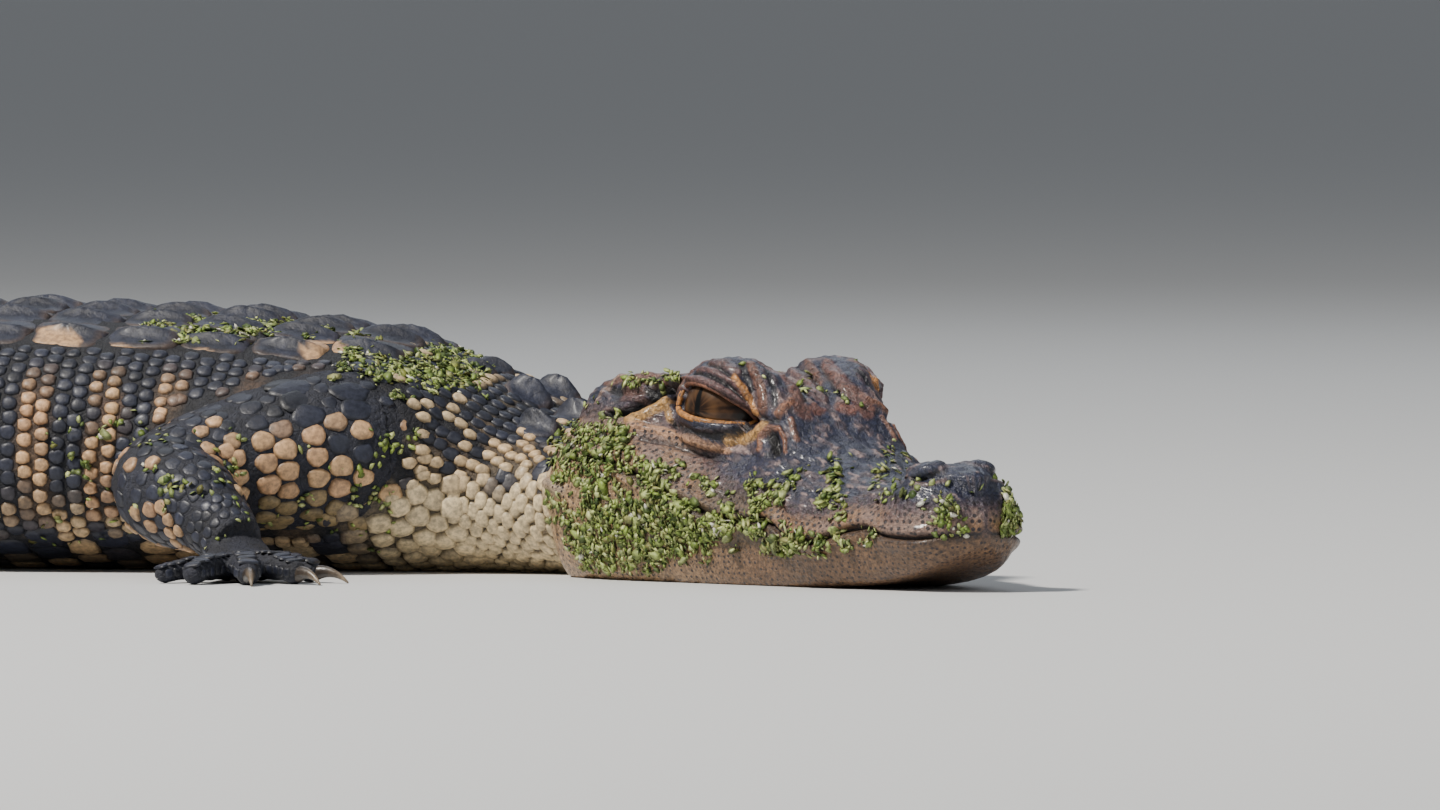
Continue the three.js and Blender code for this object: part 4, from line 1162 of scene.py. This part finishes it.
thigh = front < 0.5
ovals = thigh * smooth(-0.65, -0.45, upness) * (1 - smooth(0.42, 0.55, upness)) * (chance < 0.86) * (forward > -0.4)
diamonds = ~thigh & (front < 0.9) & (chance < 0.36) & (upness < 0.85)
colour = mix(SLATE, SLATE_BLUE, chance)
colour = mix(colour, linear("#94805a"), thigh * (1 - smooth(-0.5, -0.3, upness)) * 0.85)
colour = mix(colour, mix(CREAM, TAN, noise(spots, 3, 66)), np.clip(ovals + 0.8 * diamonds, 0, 1))
is_big = big > 1.2
grow = 1 + 0.28 * is_big
high = (0.3 + 0.3 * smooth(0.05, 0.2, colour.mean(1))) * (0.8 + 0.4 * rng.random(len(spots)))
# The edge colour at half brightness is painted shade in the gaps between scales
columns = (spots - ways * 0.1, rows[:, 3:6], ways, half * big * grow, wide * np.sqrt(big) * grow, high, 0.15 * is_big,
           colour, colour * 0.5)
square = 2.3 - 0.5 * is_big + 0.8 * (front > 1)
HIPS_X, NECK_X, HEAD_X = -140, -100, -60
for label, use in (("arms", spots[:, 0] > HIPS_X), ("legs", spots[:, 0] <= HIPS_X)):
    scales(f"scales_{label}", *(v[use] for v in columns), SCALE, "limb", LIMB_DISC, square=square[use])

# Scutes of neck and back, as in the solids but with keels that rise to the rear: s, y, length, width, keel, squareness
NECK_SCUTES = [(114.5, 4.4, 6, 7, 1.5), (116, 11.5, 6, 7, 1.5), (127, 5.4, 11, 10.5, 3.7), (128.5, 15, 10, 9.4, 3.2),
               (139, 5.2, 10.5, 10, 3.3), (150, 4.2, 8, 8, 1.6)]
plates = [(s, side * y, *size, 2.2) for s, y, *size in NECK_SCUTES for side in (-1, 1)]
files_across = curve("160,3.4 180,6 340,6 391,4")
edges = np.linspace(160, TORSO_END, 18)
for row, (start, end) in enumerate(zip(edges[:-1], edges[1:])):
    middle = (start + end) / 2
    files = 2 * int(round(files_across(middle) / 2))
    width = 2 * shield_edge(middle) / max(files_across(middle), files)
    for file in range(files):
        y = width * (file - (files - 1) / 2)
        keel = 1.5 + 0.9 * (1 - abs(y) / shield_edge(middle)) + 0.2 * math.sin(2.3 * row + file)
        plates.append((middle, y, (end - start) * 0.98 * 1.03, width, keel, 4.4))
s, y, length, width, keel, square = np.array(plates).T
z = back_at(s, y)
world = place(s, y, z)
spots, ways, _ = on_skin(world)


# Where the cream patches of the photo lie on the shield
def back_spots(points):
    s, y, z = unplace(points).T
    near = to_pixel(place(s, -np.abs(y), z)) + 9 * (noise(points, 2.2, 85) - 0.5)[:, None]
    patch = np.zeros(len(s))
    for x, v in BACK_SPOTS:
        patch = np.maximum(patch, np.exp(-(((near[:, 0] - x) / 25) ** 2) - ((near[:, 1] - v) / 11) ** 2))
    return smooth(0.3, 0.5, patch) * 0.9


rear = (s > 300) * (np.abs(np.abs(y) / half_width(s) - 0.6) < 0.14) * (band(s, z, BAND_PERIOD * 2, 0.3, 48) > 0.5)
patch = smooth(0.3, 0.6, rear * 0.8)
colour = mix(mix(SLATE, SLATE_BLUE, noise(world, 9, 81)), mix(CREAM, TAN, noise(world, 4, 83)), patch * 0.9)
edge = mix(mix(SLATE, linear("#5b4a40"), 0.5), TAN, patch)
scales("scutes", spots - ways * 0.35, backward(s), ways, length / 2, width / 2, 0.65, keel, colour, edge, PLATE,
       template=PLATE_DISC, square=square, uneven=0.03, rough=0.6, lean=-0.35, mottle=0.75, paint=back_spots)

# Crest of the tail: two rows of keeled plates that meet in one row of blades
MERGE = 570.0
CREST_END = 791
blade_height = curve("391,2.6 440,4.2 540,6 600,7 700,5.4 790,2.4")
plates = []
for start, end in ((TORSO_END, 488), (488, 590), (590, 694), (694, TOTAL_LENGTH)):
    count = int(round((end - start) / float(blade_length((start + end) / 2))))
    long = (end - start) / count
    for at in start + (np.arange(count) + 0.5) * long:
        tall, wide = blade_height(at), half_width(at)
        if at < MERGE:
            off = wide * (0.62 - 0.2 * (at - TORSO_END) / (MERGE - TORSO_END))
            plates += [(at, side * off, long, 0.5 * wide, tall) for side in (-1, 1)]
        elif at <= CREST_END:
            plates.append((at, 0, long, max(0.75 * wide, 1.8), tall))
s, y, length, width, tall = np.array(plates).T
z = back_at(s, y)
spots, ways, _ = on_skin(place(s, y, z))
ways = unit(ways * 0.5 + UP * 0.5)
colour = mix(hide_colour(s, y, z), SLATE, 0.5)
# The dimmer edge colour is painted shade in the gaps between plates
scales("crest", spots - ways * 0.3, backward(s), ways, length * 0.52, width / 2 + 0.6, 0.8, tall, colour, colour * 0.7,
       PLATE, template=PLATE_DISC, uneven=0.02, rough=0.3, lean=-0.3, mottle=0.5)


# Eyeballs: dark brown iris with fine rays and an upright slit, in the mesh's own colours
def eyeball(name, flip):
    rings, sides = 140, 180
    out_by = math.radians(12)
    axis = unit(-head_left * math.cos(out_by) + head_forward * math.sin(out_by) + UP * 0.05)
    side = unit(np.cross(UP, axis))
    polar, round_by = (v.ravel() for v in np.meshgrid(
        np.linspace(0.004, np.pi - 0.004, rings), np.arange(sides) * 2 * np.pi / sides, indexing="ij"))
    h, v, depth = np.sin(polar) * np.cos(round_by), np.sin(polar) * np.sin(round_by), np.cos(polar)
    verts = eye_centre + EYE_R * (depth[:, None] * axis + h[:, None] * side + v[:, None] * np.cross(axis, side))
    ray = noise(np.stack([np.cos(round_by) * 9, np.sin(round_by) * 9, polar * 3], -1), 1, 5)
    iris = mix(linear("#1f130d"), linear("#46301f"), smooth(0.35, 0.75, 0.6 * ray + 0.4 * fbm(verts, 0.9, 8)))
    iris = mix(iris, linear("#60442a"), 0.5 * np.exp(-(((polar - 0.42) / 0.12) ** 2)))
    colour = mix(iris, linear("#171312"), smooth(0.85, 1.1, polar))
    slit = 0.085 * np.sqrt(np.clip(1 - (v / 0.56) ** 2, 0, 1)) + 1e-6
    in_slit = (1 - smooth(0.75, 1.15, np.abs(h) / slit)) * (depth > 0) * (np.abs(v) < 0.56)
    colour = mix(colour, linear("#050506"), in_slit)
    if flip:
        verts = mirror_head(verts)
    verts = np.vstack([verts, verts[:sides].mean(0), verts[-sides:].mean(0)])
    colour = np.vstack([colour, colour[:1], colour[-1:]])
    build(name + "_ball", verts, shell(rings, sides, turned=not flip), colour, EYE, stands_for=[name])


eyeball("eye_right", False)
eyeball("eye_left", True)

# Claws: curved, pointed, a little flattened
for name, limb in limbs.items():
    for number, (leave, way, length, thick) in enumerate(limb["claws"], 1):
        size = thick * (1 - 0.88 * np.linspace(0, 1, 22) ** 1.15)
        verts, faces = tube(claw_path(leave, way, length), size * 0.86, size, 16)
        verts[:, 2] = np.maximum(verts[:, 2], GROUND * 0.5)
        along = np.linalg.norm(verts - leave, axis=1) / length
        colour = mix(linear("#3a322c"), linear("#8b7b68"), smooth(0.35, 1, along) * 0.8)
        colour = colour * (0.75 + 0.5 * noise(verts * np.array([1, 1, 0.4]), 0.7, 12))[:, None]
        node = f"claw_{limb['spec']['foot_name']}_{name.split('_')[0]}_{number}"
        build(node + "_horn", verts, faces, colour, CLAW, stands_for=[node])

# Flecks of duckweed that cling to the skin, seen from the camera's side: how many tries, how closely they cover, and
# the outline of the clump in the photo's pixels
WEED_AREAS = [
    (4200, 0.72, "600,392 560,420 545,450 548,520 580,570 640,575 720,560 800,560 810,530 760,515 700,495 640,440 "
                 "610,400"),
    (1500, 0.42, "640,440 720,470 800,470 860,440 860,530 760,515 700,495"),
    (330, 1.3, "1003,490 1022,495 1018,535 1000,535"),
    (420, 1.0, "690,512 790,534 880,526 880,545 800,562 690,540"),
    (330, 0.45, "590,366 680,362 680,392 590,396"),
    (420, 0.35, "680,350 760,348 880,400 870,420 760,380 680,372"),
    (260, 0.3, "800,440 940,440 1000,500 860,520"),
    (1500, 0.7, "140,290 250,300 250,345 140,345"),
    (1700, 0.6, "240,300 350,306 350,345 240,345"),
    (3000, 0.66, "330,306 430,320 500,350 500,400 400,400 330,385"),
    (600, 0.3, "20,400 420,420 420,560 20,560"),
]
LEAF = np.array(pairs("1,0 0.5,0.7 -0.3,0.75 -0.95,0.25 -0.8,-0.4 0,-0.8 0.7,-0.6"))
spots, ways = [], []
for count, cover, outline in WEED_AREAS:
    outline = pairs(outline)
    low, high = np.min(outline, 0), np.max(outline, 0)
    drawn = 0
    while drawn < count * 1:
        uv = rng.uniform(low, high)
        clump = 0.6 * fbm(np.append(uv, 0), 26, 15) + 0.4 * noise(np.append(uv, 5), 9, 16)
        drawn += 0.4
        fade = 0.2 * (1 - smooth(0, 20, line_gap(uv[None], outline + outline[:1])[0]))
        if not inside(uv[None], outline)[0] or clump < 0.7 - cover * 0.42 + fade + 0.05 * rng.normal():
            continue
        drawn += 0.6
        spot, normal, _, _ = tree.ray_cast(Vector(camera_at), Vector(pixel_ray(uv)).normalized())
        if spot is None or np.linalg.norm(np.array(spot) - eye_centre) < EYE_R + 2.2:
            continue
        spots.append(spot)
        ways.append(normal)
        if rng.random() < 0.25 and spot.x > HEAD_X:
            other, normal, _, _ = tree.find_nearest(Vector(mirror_head(np.array([spot]))[0]))
            spots.append(other)
            ways.append(normal)
spots, ways = np.array(spots), np.array(ways)
n, around = len(spots), len(LEAF)
tilt = unit(ways + 0.42 * rng.normal(size=(n, 3)))
along = unit(np.cross(tilt, rng.normal(size=(n, 3))))
across = np.cross(tilt, along)
size = rng.uniform(0.4, 1.05, n) * np.where(rng.random(n) < 0.12, rng.uniform(1.3, 1.8, n), 1)
stack = 0.12 + np.where(spots[:, 0] < NECK_X, 1.5, 0.7) * rng.random(n) ** 2
ragged = rng.uniform(0.7, 1.2, (n, around, 1))
outline = along[:, None] * LEAF[:, :1] + across[:, None] * LEAF[:, 1:] * rng.uniform(0.55, 1, (n, 1, 1))
lift, tilt = (spots + ways * stack[:, None])[:, None], tilt[:, None]
verts = np.concatenate([lift + outline * ragged * size[:, None, None] - tilt * 0.1, lift + tilt * 0.09,
                        lift - tilt * 0.17], 1)
tone = mix(linear("#8fa748"), linear("#dbe29c"), rng.random(n) ** 1.5)
tone = mix(tone, linear("#3f5424"), rng.random(n) ** 1.4)
tone = mix(tone, linear("#7a6a3c"), 0.5 * (rng.random(n) < 0.15))
tone = np.where(rng.random((n, 1)) < 0.025, linear("#e4e2d2"), tone)
# Painted light and shade: each fleck's top is lighter in the middle and its underside darker
tone = tone[:, None] * np.append(np.full(around, 0.8), [1.15, 0.6])[:, None]
wheel = np.arange(around)
fan = np.stack([wheel, (wheel + 1) % around, np.full(around, around)], -1)
fan = np.vstack([fan, fan[:, [1, 0, 2]] + [0, 0, 1]])
leaf_uv = skin_uv(spots)[:, None] + np.vstack([LEAF, [[0, 0], [0, 0]]]) * MAP_SIZE
ahead = spots @ head_forward
split = np.sort(ahead)[n // 2]
for label, use in (("front", ahead >= split), ("rear", ahead < split)):
    faces = (fan + (np.arange(use.sum()) * (around + 2))[:, None, None]).reshape(-1, 3).tolist()
    build(f"duckweed_{label}", verts[use].reshape(-1, 3), faces, tone[use].reshape(-1, 3), WEED,
          leaf_uv[use].reshape(-1, 2))

# Pale floor, sky and lights
bpy.ops.mesh.primitive_circle_add(vertices=96, radius=60, fill_type="NGON", location=(0, 0, 0))
floor = bpy.context.object
floor.name = "floor"
floor.data.materials.append(Shade("floor_paint", Roughness=0.75, Base_Color=(0.62, 0.63, 0.64, 1)).mat)

sky = bpy.data.worlds.new("pale_room")
bpy.context.scene.world = sky
sky.use_nodes = True
sky.node_tree.nodes["Background"].inputs["Color"].default_value = (0.86, 0.9, 0.95, 1)
sky.node_tree.nodes["Background"].inputs["Strength"].default_value = 0.24


def area_light(name, at, size, power, colour):
    data = bpy.data.lights.new(name, "AREA")
    data.shape = "DISK"
    data.size = size
    data.energy = power
    data.color = colour
    lamp = add_object(name, data)
    lamp.location = at
    lamp.rotation_euler = (Vector(put(np.zeros(3))) - Vector(at)).to_track_quat("-Z", "Y").to_euler()


area_light("key", (-0.95, -0.62, 1.85), 0.3, 84, (1, 0.95, 0.87))
area_light("fill", (1.6, -1.3, 0.9), 1.4, 8, (0.92, 0.95, 1))
area_light("back", (0.2, 1.6, 1.4), 1.2, 6, (0.85, 0.92, 1))

# Camera at the photo's angle
camera_data = bpy.data.cameras.new("camera")
camera_data.sensor_width = 36
camera_data.lens = camera_data.sensor_width * CAMERA_AWAY / (PICTURE[0] / PIXELS_PER_MM)
camera_data.clip_end = 200
camera = add_object("camera", camera_data)
camera.location = put(camera_at)
camera.rotation_euler = (math.pi / 2 - CAMERA_TILT, 0, 0)
bpy.context.scene.camera = camera
